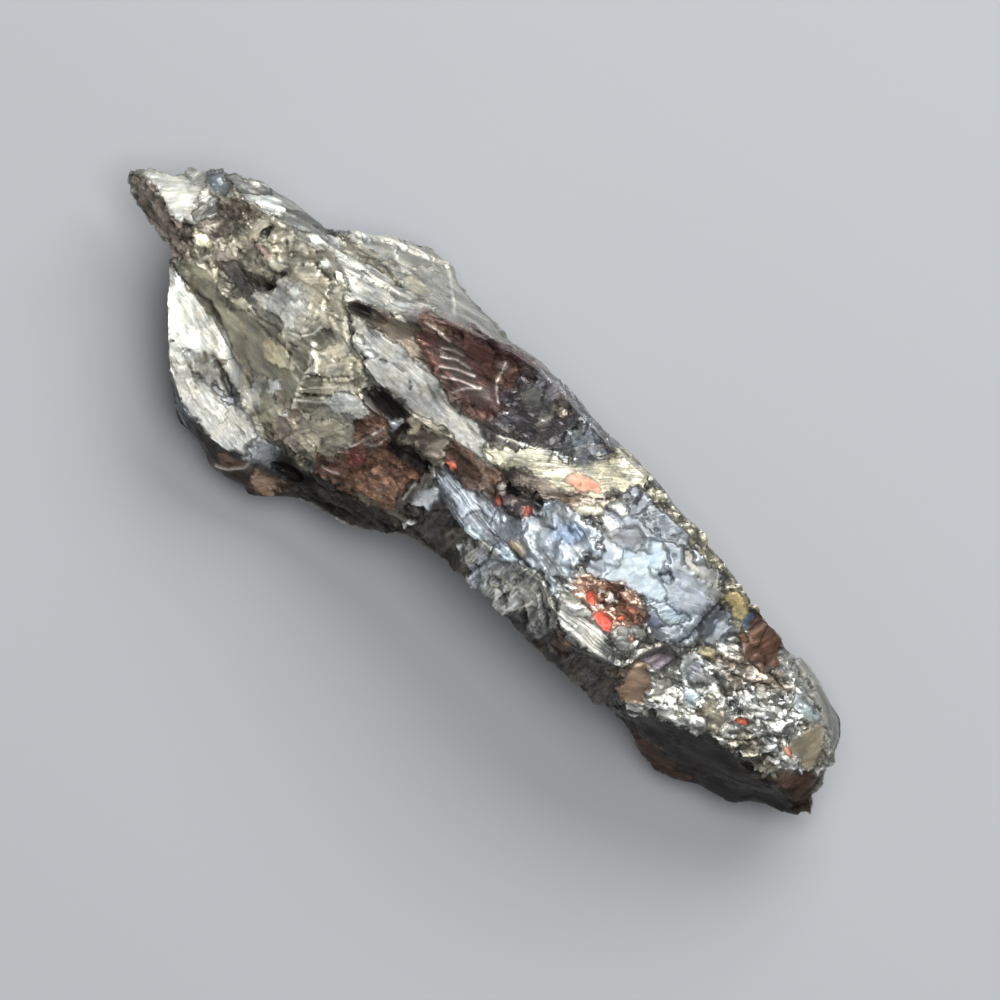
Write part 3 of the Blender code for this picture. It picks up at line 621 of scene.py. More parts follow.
patch("scoop_taupe", TAUPE, "smooth", 12, [
    (-14.5, 2.3), (-13.8, 3.2), (-12.5, 3.5), (-11, 4.2), (-10.3, 4.9), (-9.4, 4.5), (-8, 3.6), (-6.8, 2.9),
    (-9, 2.9), (-11, 2.6), (-13, 2.2)], light=1.6)
patch("scoop_head", COAL, "smooth", 12, [
    (-14.6, 2.2), (-13.9, 3.2), (-12.9, 3.4), (-12.6, 2.9), (-13.2, 2.2)], light=0.8, soft=0.15)
patch("striated_band", STONE_GREY, "satin", 4, [
    (-13.2, 2.2), (-11, 2.65), (-8, 3), (-5, 2.75), (-2.5, 2.25), (-1.2, 2.3), (0.4, 2.2), (0.9, 1.5),
    (-0.4, 1.1), (-2.5, 0.85), (-4, 0.65), (-5, 0.3), (-6.2, 0), (-8, 0), (-10, 0.25), (-12.3, 0.6)
], light=0.41)
patch("band_cream", CREAM, "streaked", 4, [
    (-1.4, 1.5), (-0.6, 1.9), (0.8, 1.8), (0.6, 1.4), (-0.4, 1.2)], light=2.4)
patch("cream_ridge", CREAM, "layered", 37, [
    (-1.3, 2.3), (-0.4, 2.6), (0, 3), (2.4, 4.3), (4, 5.3), (5, 6.5), (6, 7.6), (8.3, 7.6), (8.1, 7),
    (7.5, 6), (7.3, 5.1), (6.5, 4.4), (6.3, 3.6), (5, 3), (3, 2.7), (1.5, 2.1), (0.2, 1.5), (-1.2, 1.6)
], light=0.7)
patch("ridge_shade", TAUPE, "layered", 37, [
    (1.2, 1.7), (2.8, 2.6), (4.4, 3.1), (5.8, 3.2), (6.4, 4.2), (7.4, 5), (7.2, 4.3), (6.2, 3), (5, 2.3),
    (4, 1.5), (2.4, 1), (1.3, 1.1)], light=3.4)
patch("hollow", COAL, "streaked", 25, [
    (1.2, 0.9), (1.8, 1.45), (2.9, 1.5), (4.2, 1.7), (4.6, 1.2), (4.1, 0.6), (3.4, -0.1), (2.6, -0.35),
    (1.8, -0.1), (1.2, 0.3)], light=4.3, drop=-0.45)
patch("hollow_black", COAL, "rusty", 0, [
    (1.5, 0.5), (1.6, 1), (2.1, 1.15), (2.5, 0.8), (2.4, 0.35), (1.9, 0.2)], drop=0.1, light=1.2)
patch("orange_spot", SALMON, "speck", 20, [
    (4, 4), (4.5, 4.7), (5.4, 4.85), (6.1, 4.8), (6.3, 4.4), (5.7, 4.1), (5.3, 3.65), (4.3, 3.6)
], light=0.9, soft=0.12)

# %% [markdown]
# ## The saddle, the slot and the rust
#
# A black slot cuts in behind the cheek. East of it the stone is rusty, where iron has weathered.

# %% Saddle, slot and rust
patch("rust_patch", RUST, "rusty", 45, [
    (-8.6, -2), (-7.1, -1.5), (-6.3, -2), (-3.2, -2.6), (-3.2, -4), (-3.1, -5.6), (-4.5, -6.2), (-8.5, -6.9),
    (-8.4, -5.4), (-8.1, -4), (-8.4, -3)], light=1.3)
patch("rust_pale", seen(136, 104, 82), "rusty", 20, [
    (-5.9, -3.6), (-4.2, -3.4), (-3.6, -4.6), (-4.2, -5.9), (-5.8, -5.4)], light=1.85, soft=0.3)
patch("rust_red", seen(116, 64, 62), "rusty", 20, [
    (-7.6, -4.3), (-6.8, -4.2), (-6.3, -4.6), (-6.8, -5.1), (-7.6, -4.9)], light=2, soft=0.2)
patch("slot", COAL, "smooth", 3, [
    (-9.9, 0.05), (-6.2, -0.1), (-5.9, -0.5), (-6.4, -0.9), (-7.5, -1.3), (-9.5, -1.35), (-11, -1.2),
    (-9.6, -0.7)], light=0.9)
patch("shard", seen(142, 144, 144), "smooth", 60, [
    (-7, -1), (-6.3, -0.3), (-6.15, -1.7), (-6.9, -1.5)], light=2.2)
patch("notch", COAL, "smooth", 80, [
    (-6.1, -0.3), (-5.7, -0.3), (-5.9, -2.1), (-6.3, -2)], light=0.6)
patch("knob", TAUPE, "wrinkled", 60, [
    (-5.8, -0.1), (-4.6, 0), (-3.2, 0.5), (-3, -0.3), (-3.5, -0.8), (-3.6, -1.7), (-5, -1.9), (-5.7, -1.3)
], light=2.2)
patch("knob_edge", TAN, "smooth", 70, [
    (-5.6, -0.2), (-5.2, -0.2), (-5.1, -0.8), (-5.6, -1.2)], light=1.4)
patch("under_knob", COAL, "crusted", 5, [
    (-6.3, -1.8), (-5, -1.7), (-3.3, -1.5), (-2.9, -2.4), (-4.4, -2.8), (-6.1, -2.5)], light=0.8)
patch("saddle", BROWN, "rusty", 5, [
    (-3.1, 0.9), (-0.4, 1.05), (0.6, 0.7), (1, -0.1), (0.1, -0.8), (-1.5, -0.8), (-3, -0.4)], light=1)
patch("dark_column", COAL, "wrinkled", 85, [
    (-3.4, -2.4), (-2.8, -1.7), (-1.9, -1.9), (-2.2, -3.2), (-2.4, -5.2), (-3.3, -5.4)], light=4.3)
patch("grey_leaf", seen(146, 149, 150), "smooth", 60, [
    (-2.4, -4.5), (-2.3, -3.6), (-1.8, -2.5), (-1.3, -3.1), (-1.3, -4), (-1.6, -4.4)], light=3.2)
# The low south foot, taupe darkened further as painted shade.
patch("low_foot", TAUPE, "pitted", 10, [
    (-9, -7), (-5, -6.5), (-3, -6.1), (-0.6, -5.4), (0.4, -6.2), (-2.2, -7.4), (-5, -9), (-8.4, -9.2),
    (-8.8, -8)], light=0.3)
patch("black_pit", COAL, "smooth", 0, [
    (-10.9, -7.5), (-7.4, -7.5), (-7.9, -8.4), (-9.2, -8.8), (-10.7, -9.1)], light=0.8)

# %% [markdown]
# ## The scales and the table
#
# The middle of the stone is slate blue. One part is scaly, like a fish. The other is a broad table
# with a mirror-bright patch, a gold hackly rim and a rusty pit, where a red speck shows.

# %% Scales and table
patch("blue_band", SLATE_BLUE, "streaked", -8, [
    (-2.2, -1), (0, -0.8), (1.6, -1), (3.2, -1.9), (8.2, -2.2), (8.4, -2.7), (4.4, -3.1), (0.8, -3.4),
    (-1.2, -3), (-1.9, -2.4)], light=0.8)
patch("scales", SLATE_BLUE, "scaly", -12, [
    (4.3, 1.4), (5.2, 2.4), (6.5, 2.5), (8.3, 2.6), (8.8, 1.4), (8.7, 0.2), (8.2, -1), (8.2, -2.3), (6, -2.2),
    (4.2, -2.1), (2.6, -1.9), (1.6, -1.2), (1.2, -0.3), (3.5, -0.4), (4.3, 0.4)], light=1.08)
patch("scales_blue", seen(132, 150, 172), "scaly", -12, [
    (5.6, 0.2), (6, 0.9), (6.4, 1.9), (7.5, 2.1), (7.8, 1.4), (7, 0.4), (6.4, 0.1)], light=0.85, soft=0.2)
patch("scales_cream", CREAM, "smooth", 40, [
    (5.8, 2.6), (6.3, 3.3), (6.9, 3.9), (7.3, 3.5), (7, 2.9), (6.4, 2.5)], light=1.1, drop=-0.05)
patch("peach_spot", seen(238, 212, 172), "smooth", -10, [
    (3.9, -1.9), (4.6, -1.55), (5.4, -1.8), (5.5, -2.1), (4.6, -2.1)], light=2.6, drop=-0.05)
patch("light_strip", PALE_BLUE, "streaked", 6, [
    (0.6, -3.3), (3, -2.75), (5, -2.4), (8.3, -2.2), (8.3, -2.55), (5.4, -2.95), (1.4, -3.5)
], light=2, drop=-0.05)
patch("table", SLATE_BLUE, "glassy", 20, [
    (8.2, 7.2), (8.5, 5), (8.4, 2.6), (8.9, 1.4), (8.8, -0.1), (10.2, 0.3), (11.3, 1), (13, 1.2), (14.6, 0.5),
    (15.6, -0.2), (17.4, 0.4), (17.3, 2.6), (16.9, 4.4), (16.6, 5.4), (14, 6.2), (11, 6.6)], light=0.72)
patch("table_rough", SLATE_BLUE, "scaly", 60, [
    (8.4, 4.6), (8.3, 6.6), (10.4, 6.5), (12.6, 6.1), (13.2, 5.2), (12, 5), (10.6, 5), (9.4, 4.7)
], light=0.55, soft=0.25)
patch("table_pale", STONE_GREY, "glassy", 15, [
    (13.4, 5.4), (13.6, 4.4), (15.2, 4.6), (16.9, 4), (16.8, 5.2), (15.2, 5.6)], light=0.48, drop=0)
patch("table_streaks", PALE_BLUE, "streaked", 58, [
    (10.2, 0.4), (11.3, 1.1), (13, 1.3), (15.6, 0.9), (16.6, 1.2), (16, 2.4), (14.4, 2.5), (12.4, 2.2),
    (10.6, 1.6)], light=0.74, soft=0.15)
patch("white_flake", seen(208, 213, 213), "smooth", 35, [
    (7.6, 3.2), (8.2, 3.9), (9.2, 4), (8.7, 3.2), (8.1, 2.9)], light=1.1, drop=-0.04)
patch("white_flake_north", STONE_GREY, "smooth", 35, [
    (7.5, 4.2), (8, 4.8), (8.8, 4.7), (8.5, 4.2)], light=1.4, drop=-0.04)
patch("grey_flake", seen(138, 142, 146), "glassy", 35, [
    (9, 2.6), (10.7, 2.6), (10.7, 4.2), (9.7, 4.5), (8.9, 3.5)], soft=0.15, drop=0, light=0.6)
patch("mirror_face", PALE_BLUE, "mirror", 55, [
    (10.7, 4.3), (11.6, 4.8), (12.5, 4.4), (13.25, 3.7), (12.4, 2.9), (13.4, 2.75), (14.6, 2.6), (14.5, 2.1),
    (12.6, 1.2), (11.5, 1.4), (10.2, 0.4), (10.2, 1.4), (10.7, 2.4)], light=0.6, lean=(0.0, 0.05), drop=0.04)
patch("mirror_chip", seen(120, 130, 136), "glassy", 45, [
    (12.9, 3.1), (13.6, 3.7), (14, 3.1), (13.4, 2.8)], soft=0.1, drop=0.03, light=0.9)
patch("ink_spot", seen(78, 84, 112), "mirror", 8, [
    (14.1, 0.9), (14.7, 1.1), (15.6, 0.9), (15.2, 0.4), (14.5, 0.3)], light=0.5)
patch("gold_rim", CREAM, "hackly", 42, [
    (8, 8.2), (8.4, 6.6), (10.4, 6.5), (12.4, 6.05), (14, 5.95), (16, 5.5), (16.7, 4.9), (17.2, 5.2),
    (18.3, 5.75), (19.6, 5.6), (19.4, 6.8)], light=0.47)
patch("wedge", STONE_GREY, "streaked", 4, [
    (8.8, -2.5), (12, -2.35), (14.8, -2.5), (15.3, -2.6), (14.6, -3.3), (12.5, -3.95), (10.6, -4.3),
    (9.8, -3.2)], light=0.88, drop=-0.05)
patch("crust", seen(142, 114, 98), "hackly", 10, [
    (10, 0.3), (11.3, 1), (13, 1.1), (14.5, 0.5), (14.6, -0.6), (14.5, -1.8), (13.6, -2.3), (12.8, -2.4),
    (11.4, -1.5), (10.1, -1.6), (9.2, -1.3), (9.4, -0.3)], light=2.2)
patch("crust_grey", STONE_GREY, "crusted", 40, [
    (12.9, -2.3), (13.1, -1.2), (14, -0.5), (14.9, -0.2), (15, -1.4), (14.6, -2.4)], light=0.55, soft=0.2)
patch("crust_ledge", SILVER, "smooth", 35, [
    (8.9, -2.4), (9.6, -1.7), (10.9, -1.5), (11.8, -2.3), (10, -2.5)], light=1.4, drop=-0.05)
# A painted highlight: a white rim on a slope that faces away from the window.
patch("step_rim", SILVER, "hackly", 70, [
    (14.6, -2.9), (15.2, -3), (15.4, -1.6), (16, -0.3), (15.6, -0.2), (15, -1.4), (14.8, -2.4)
], light=3.5, lean=(0.1, 0.1))
patch("flank", TAUPE, "columned", 88, [
    (-2, -5), (-1, -3.2), (0.8, -3.5), (4.4, -3.1), (8.4, -2.6), (9.8, -3.2), (10.6, -4.3), (12.5, -4),
    (14.6, -3.35), (15.6, -4), (16.6, -5), (16.6, -7), (-1.4, -7)], light=0.58)
patch("flank_columns", STONE_GREY, "columned", 88, [
    (3.2, -3), (7, -2.7), (8.6, -2.9), (8.8, -5), (7, -5.6), (3.4, -5.7)], light=1.9, soft=0.2)
patch("flank_dark", CHARCOAL, "columned", 88, [
    (7.6, -2.9), (9.2, -3), (10, -4.4), (10.2, -5.4), (8, -5.4), (7.8, -4.2)], light=1.6, soft=0.2)
patch("column_face", STONE_GREY, "columned", 88, [
    (5.3, -3.8), (6.8, -2), (8.4, -2.6), (9.6, -4.8), (7.8, -5)], light=1.6, soft=0.15)
patch("column_west_face", STONE_GREY, "columned", 88, [
    (1.5, -4.4), (3, -2.9), (5.7, -3), (5.9, -4.9), (3.8, -4.9)], light=1.5, soft=0.15)
patch("column_light_west", SLATE_BLUE, "columned", 86, [
    (3.2, -3.6), (4.6, -3.3), (4.9, -5.4), (3.6, -5.6)], light=2.4, soft=0.12)
patch("column_light_mid", STONE_GREY, "columned", 80, [
    (5.2, -3.1), (6.2, -3), (6, -4.6), (5.4, -5.2)], light=3.2, soft=0.12)
patch("column_light_east", STONE_GREY, "columned", 100, [
    (9, -2.9), (9.9, -3.6), (10.1, -4.6), (9.3, -5), (8.8, -4)], light=1.3, soft=0.12)
patch("flank_brown", BROWN, "wrinkled", 20, [
    (10.2, -4.3), (11.7, -4.1), (12.1, -4.9), (10.6, -5.2)], light=1.5)

# %% [markdown]
# ## The tail
#
# Past a small step the stone turns hackly and glitters. A yellow face, a rusty corner, a smooth grey
# one and a tan pad break up the glitter, and the south side falls away in one dark face, its darkness partly
# painted shade.

# %% Tail
patch("tail", STONE_GREY, "hackly", 28, [
    (17.2, 5.4), (22.4, 5.9), (28.4, 5), (31, 2.6), (31.4, -2.2), (28, -2.4), (22.8, -2.5), (20.1, -3.5),
    (17.2, -5.1), (15.2, -3.4), (16, -0.4), (17.3, 0.6)], light=1)
patch("tail_brown_gaps", TAUPE, "hackly", 28, [
    (19.8, 2.6), (22, 3.2), (24.5, 3.4), (24, 2.6), (22.4, 1.4), (21, 0.5), (19.6, 1.2)], light=1.7, soft=0.5)
patch("slate_step", SLATE_BLUE, "glassy", 70, [
    (16.9, 4.2), (18, 4.2), (19.3, 4.3), (19.3, 2.6), (18.1, 2), (18, 1.1), (17.3, 1), (17.2, 2.6)
], light=0.5)
patch("yellow_chip", GOLD, "smooth", 20, [
    (18.1, 1.5), (18.8, 2), (19.5, 1.7), (19.2, 1.1), (18.2, 1)], light=0.7)
patch("yellow_face", GOLD, "smooth", -35, [
    (16.9, 4.9), (17.9, 5.7), (18.6, 5.65), (19.2, 5.3), (19.5, 4.6), (18.8, 4.3), (17.6, 4.5)
], light=1.15, lean=(0.0, 0.08))
patch("yellow_face_edge", seen(66, 84, 108), "smooth", -70, [
    (19, 5.4), (19.6, 5.3), (19.5, 4.3), (19.1, 4.3)], soft=0.15)
patch("tail_rust", RUST, "wrinkled", 70, [
    (19.5, 5.9), (22.2, 5.7), (22.6, 4.3), (22, 3.2), (20.2, 2.8), (19.4, 3.6)], light=0.65)
patch("tail_rust_pale", seen(160, 122, 92), "crusted", 15, [
    (19.4, 3.8), (20.1, 4.2), (20.3, 3.6), (19.8, 3.3)], light=0.6, soft=0.15)
patch("smooth_grey", seen(162, 164, 163), "smooth", 10, [
    (17.4, 0.3), (18.3, 0.95), (19, 0.8), (19.9, 0.3), (20.2, -0.6), (19.3, -0.9), (18.4, -0.4)
], light=1, drop=-0.06)
patch("pale_chip", PALE_BLUE, "smooth", 40, [
    (19.3, -1.3), (20.25, -1), (20.25, -2.2), (19.9, -2.1)], light=1.1)
patch("purple_face", seen(118, 108, 112), "wrinkled", 75, [
    (15.4, -1.6), (15.8, -0.4), (16.2, 0.1), (17.4, -0.2), (17.6, -1.6), (16.6, -1.9), (15.6, -1.9)
], light=1.4)
patch("brown_face", seen(140, 118, 98), "smooth", 30, [
    (15.2, -3.3), (15.8, -2), (17, -1.9), (17.7, -2.8), (17.8, -4), (16.9, -4.9), (15.7, -4.1)], light=1.6)
patch("tail_slope", OLIVE, "wrinkled", 20, [
    (20.4, -0.6), (21.6, -0.5), (22.8, -1.4), (23, -2.2), (21.6, -1.9), (20.4, -1.6)], light=1.3)
patch("tail_glassy", seen(176, 188, 188), "smooth", 0, [
    (24.9, 3.5), (27, 3.2), (26.9, 2.5), (25, 2.5)], soft=0.2)
patch("tail_lower", OLIVE, "hackly", 28, [
    (23.6, -0.9), (26.6, -0.9), (28.2, -0.6), (28.6, -2.2), (25.5, -2.3), (23.4, -2.1)], light=0.8)
patch("tan_pad", TAN, "smooth", 75, [
    (27, 2.7), (27.6, 3.1), (28.2, 2.7), (28.6, 1.5), (29.3, 0.6), (28.9, 0), (27.8, 0.5), (27.1, 0.6),
    (26.9, 1.8)], light=0.95)
patch("tail_end", BROWN, "wrinkled", 60, [
    (29.3, 0.5), (31.5, 0), (31.5, -3), (29, -3), (27.2, -2.1), (27.2, -1.2), (28.2, -0.5)], light=0.7)
patch("tail_skirt", STONE_GREY, "smooth", -12, [
    (22.9, 4.6), (24.4, 5.8), (28.4, 5), (30.8, 3), (30.6, 1.4), (29.4, 2), (29, 2.8), (27.4, 3.4),
    (25.2, 4.2)], light=0.6, soft=0.15)
# The tail's south face: a dark colour that is partly the stone's own and partly painted shade.
patch("tail_flank", COAL, "smooth", 8, [
    (17, -4.9), (18.5, -4.1), (20, -3.6), (22.8, -2.45), (27, -2.2), (30.4, -2.2), (30, -4), (24, -8),
    (17, -7)], light=1.05)
# A painted highlight: a white line along the lip of the tail's south face.
patch("flank_lip", SILVER, "smooth", 30, [
    (17.1, -5), (18.4, -4), (20.9, -3.1), (21, -2.85), (19, -3.4), (17.4, -4.5)], light=1.2)
patch("flank_bulge", BROWN, "wrinkled", 10, [
    (18, -5.5), (23, -5.5), (24.4, -6), (22, -7.4), (19, -7)], light=0.6)

# %% [markdown]
# ## Specks
#
# The red and orange specks are iron minerals. They are small and matt, so each is a short outline of
# its own, made by one function from a middle, a size and a turn.

# %% Specks
SPECKS = [
    # name, middle, half length, half width, turn, colour
    ("speck_saddle", (-2.0, -0.7), 0.38, 0.24, 10, ORANGE),
    ("speck_pit", (1.95, -0.3), 0.30, 0.20, -40, ORANGE),
    ("speck_scales", (3.9, 0.3), 0.34, 0.22, 35, ORANGE),
    ("speck_crust_west", (10.5, -1.1), 0.42, 0.22, -20, seen(236, 104, 78)),
    ("speck_crust_red", (12.25, -1.65), 0.58, 0.50, -5, seen(236, 82, 56)),
    ("speck_crust_north", (13.1, 0.25), 0.36, 0.16, 10, SALMON),
    ("speck_crust_east", (13.8, -0.4), 0.30, 0.18, 25, SALMON),
    ("speck_crust_mid", (12.9, -0.75), 0.24, 0.14, 40, ORANGE),
    ("speck_crust_low", (14.3, -1.1), 0.26, 0.14, 70, SALMON),
    ("speck_tail", (23.35, -0.55), 0.42, 0.18, 35, ORANGE),
    ("speck_pad", (27.0, 0.05), 0.42, 0.20, -25, SALMON),
]

# Painted highlights, small white chips where the stone glints: middle, half length, half width and turn.
GLINTS = [
    ((-24.2, 4.3), 0.45, 0.20, 20), ((-20.9, 3.55), 0.42, 0.18, 15), ((-18.6, 4.35), 0.62, 0.30, 12),
    ((-19.15, 2.6), 0.25, 0.16, 60), ((-18.0, 2.7), 0.20, 0.16, 20), ((-17.0, 3.65), 0.32, 0.17, 15),
    ((-15.9, 3.55), 0.42, 0.24, -10), ((-18.1, -1.2), 0.20, 0.14, 0), ((-17.4, 0.8), 0.45, 0.28, 40),
    ((-10.9, 4.3), 0.48, 0.20, 30), ((-12.0, 1.35), 0.38, 0.22, -10), ((-11.0, 1.2), 0.42, 0.20, 20),
    ((-12.4, -5.5), 0.22, 0.20, 0), ((-1.6, -5.65), 0.42, 0.22, 20), ((8.0, 1.9), 0.25, 0.12, 40),
    ((9.3, -2.1), 0.35, 0.14, 20), ((15.3, -2.2), 0.35, 0.12, 75), ((24.4, 0.2), 0.30, 0.15, -35),
    ((26.2, 0.4), 0.28, 0.15, -50), ((22.6, 1.6), 0.28, 0.15, -30),
]


def oval(middle, half_length, half_width, turn, points=10):
    """A ring of points around an oval whose length lies at turn degrees to X."""
    x, y = middle
    cos, sin = math.cos(math.radians(turn)), math.sin(math.radians(turn))
    ring = []
    for index in range(points):
        swing = 2.0 * math.pi * index / points
        long, wide = half_length * math.cos(swing), half_width * math.sin(swing)
        ring.append((x + long * cos - wide * sin, y + long * sin + wide * cos))
    return ring


for name, middle, half_length, half_width, turn, colour in SPECKS:
    patch(name, colour, "speck", 0, oval(middle, half_length, half_width, turn))
# The glints are painted highlights: matt white chips that look bright from every side.
for index, (middle, half_length, half_width, turn) in enumerate(GLINTS):
    chip = oval(middle, half_length, half_width, turn, points=4)
    patch(f"speck_glint_{index}", SILVER, "speck", 0, chip, light=1.1)
print(len(patches), "patches")

# %% [markdown]
# ## Cracks, ribs and ripples
#
# A crack is a line with a width and a depth, with painted shade at its bottom. A rib is the same line
# raised, with a painted highlight along its top. The ripples in the scoop are the arcs that spread through
# glassy stone from where it was struck, raised the same way and given a painted highlight too.

# %% Cracks, ribs and ripples
CRACK_SHADE = 0.2  # how much of the colour is left at the bottom of a crack, as painted shade
# The colours of the painted highlights along ripples and ribs.
RIPPLE_HIGHLIGHT = seen(206, 192, 184)
RIB_HIGHLIGHT = seen(206, 204, 190)
CRACKS = [
    # line, width, depth
    ([(-19.05, -0.2), (-18.95, 0.5), (-18.6, 1.4)], 0.20, 0.35),
    ([(-21.45, 3.0), (-21.35, 2.2), (-21.5, 1.5)], 0.13, 0.28),
    ([(-12.4, -0.8), (-12.15, -0.3), (-12.05, 0.2)], 0.13, 0.28),
    ([(-15.5, -2.4), (-15.5, -2.0), (-14.8, -1.85)], 0.07, 0.14),
    ([(-15.7, -0.1), (-15.3, 0.2), (-15.2, 0.6)], 0.09, 0.18),
    ([(-24.3, -3.2), (-22.6, -3.4), (-21.0, -3.45), (-19.4, -4.05), (-18.0, -4.7)], 0.16, 0.22),
    ([(-18.6, -5.95), (-17.3, -6.2), (-16.6, -6.65), (-15.8, -7.0)], 0.13, 0.25),
    ([(-21.9, 3.6), (-21.4, 3.75)], 0.12, 0.2),
    ([(-18.4, 3.4), (-18.1, 3.8)], 0.13, 0.2),
    ([(-17.7, 3.2), (-17.2, 3.1), (-16.2, 3.1)], 0.10, 0.15),
    ([(-13.0, -2.6), (-12.0, -1.9), (-11.3, -1.2), (-10.6, -1.0)], 0.08, 0.2),
    ([(-12.4, -3.8), (-11.4, -2.8), (-10.4, -1.9), (-9.9, -1.5)], 0.08, 0.18),
    ([(-11.2, -4.8), (-10.0, -3.7), (-9.0, -3.4)], 0.06, 0.12),
    ([(-10.6, -5.8), (-9.6, -5.9), (-9.2, -6.3)], 0.08, 0.15),
    ([(-18.9, -2.1), (-17.0, -2.35), (-14.8, -2.4)], 0.07, 0.12),
    ([(-19.4, -1.7), (-17.6, -1.9), (-16.2, -1.7)], 0.06, 0.10),
    ([(-18.6, 5.35), (-17.0, 5.75), (-14.6, 6.05), (-12.4, 5.9)], 0.10, 0.15),
    ([(-10.0, 1.3), (-9.3, 1.65), (-8.6, 1.8)], 0.08, 0.15),
    ([(-8.4, 2.65), (-6.8, 2.8), (-5.6, 2.6)], 0.07, 0.12),
    ([(-3.4, -1.8), (-3.1, -3.4), (-3.2, -5.0)], 0.10, 0.2),
    ([(2.6, -2.3), (4.6, -2.2), (8.2, -2.35)], 0.07, 0.12),
    ([(5.4, 3.2), (6.4, 3.9), (7.4, 5.0)], 0.10, 0.2),
    ([(8.7, 0.9), (8.75, 0.2), (8.7, -0.3)], 0.14, 0.3),
    ([(12.9, 3.1), (13.5, 3.7), (14.0, 3.3)], 0.09, 0.2),
    ([(17.0, 4.4), (17.25, 3.0), (17.15, 1.6), (17.0, 0.7)], 0.14, 0.3),
    ([(8.6, 6.9), (8.5, 6.2), (8.7, 5.6)], 0.08, 0.15),
    ([(2.3, 6.9), (2.1, 6.0), (2.3, 5.2)], 0.10, 0.2),
    ([(-0.9, 7.2), (-0.7, 6.4)], 0.10, 0.2),
    ([(2.6, 7.3), (3.2, 6.4)], 0.07, 0.14),
    ([(3.6, -2.9), (3.8, -3.8), (3.6, -4.8)], 0.10, 0.2),
    ([(6.4, -3.1), (6.4, -4.2), (6.2, -5.2)], 0.12, 0.25),
    ([(18.0, -0.6), (18.8, -1.4), (19.4, -2.4)], 0.10, 0.15),
    ([(3.4, -4.5), (4.8, -5.5)], 0.13, 0.20),
    ([(5.0, -4.2), (6.7, -5.2)], 0.13, 0.20),
    ([(6.8, -4.0), (8.9, -5.4)], 0.13, 0.20),
    ([(7.8, -3.1), (9.9, -4.5)], 0.13, 0.20),
    ([(8.9, -2.9), (10.4, -4.1)], 0.13, 0.20),
    ([(1.8, -4.0), (3.5, -5.2)], 0.13, 0.20),
    ([(20.2, 0.6), (21.4, 0.1)], 0.14, 0.25),
    ([(22.6, -0.3), (23.2, -0.15)], 0.14, 0.25),
    ([(22.6, 3.2), (24.0, 3.0), (25.0, 3.1)], 0.09, 0.2),
    ([(20.6, 1.5), (21.8, 1.7)], 0.10, 0.2),
]
RIPPLES = [
    ([(-9.6, 5.15), (-8.4, 5.3), (-7.5, 5.3)], 0.08, 0.10),
    ([(-7.7, 4.6), (-7.0, 4.95), (-6.3, 5.1)], 0.08, 0.10),
    ([(-7.4, 4.1), (-6.5, 4.6), (-5.4, 4.85)], 0.08, 0.11),
    ([(-7.0, 3.6), (-6.0, 4.2), (-4.8, 4.65)], 0.08, 0.11),
    ([(-6.4, 3.2), (-5.5, 3.75), (-4.4, 4.1)], 0.08, 0.10),
    ([(-5.2, 2.9), (-4.7, 3.7), (-4.0, 4.3)], 0.08, 0.09),
    ([(-3.9, 6.6), (-3.5, 5.4), (-3.0, 4.7), (-2.5, 4.3)], 0.08, 0.10),
    ([(-13.6, -11.1), (-12.8, -10.7), (-12.2, -10.0), (-12.1, -9.6)], 0.10, 0.14),
    ([(-7.0, -2.0), (-7.3, -3.0), (-7.6, -3.8), (-8.0, -4.5)], 0.09, 0.09),
    ([(-6.4, -2.3), (-6.6, -3.1), (-7.2, -3.6)], 0.08, 0.09),
    ([(-8.3, -6.4), (-7.6, -6.2), (-7.2, -6.0)], 0.08, 0.10),
]
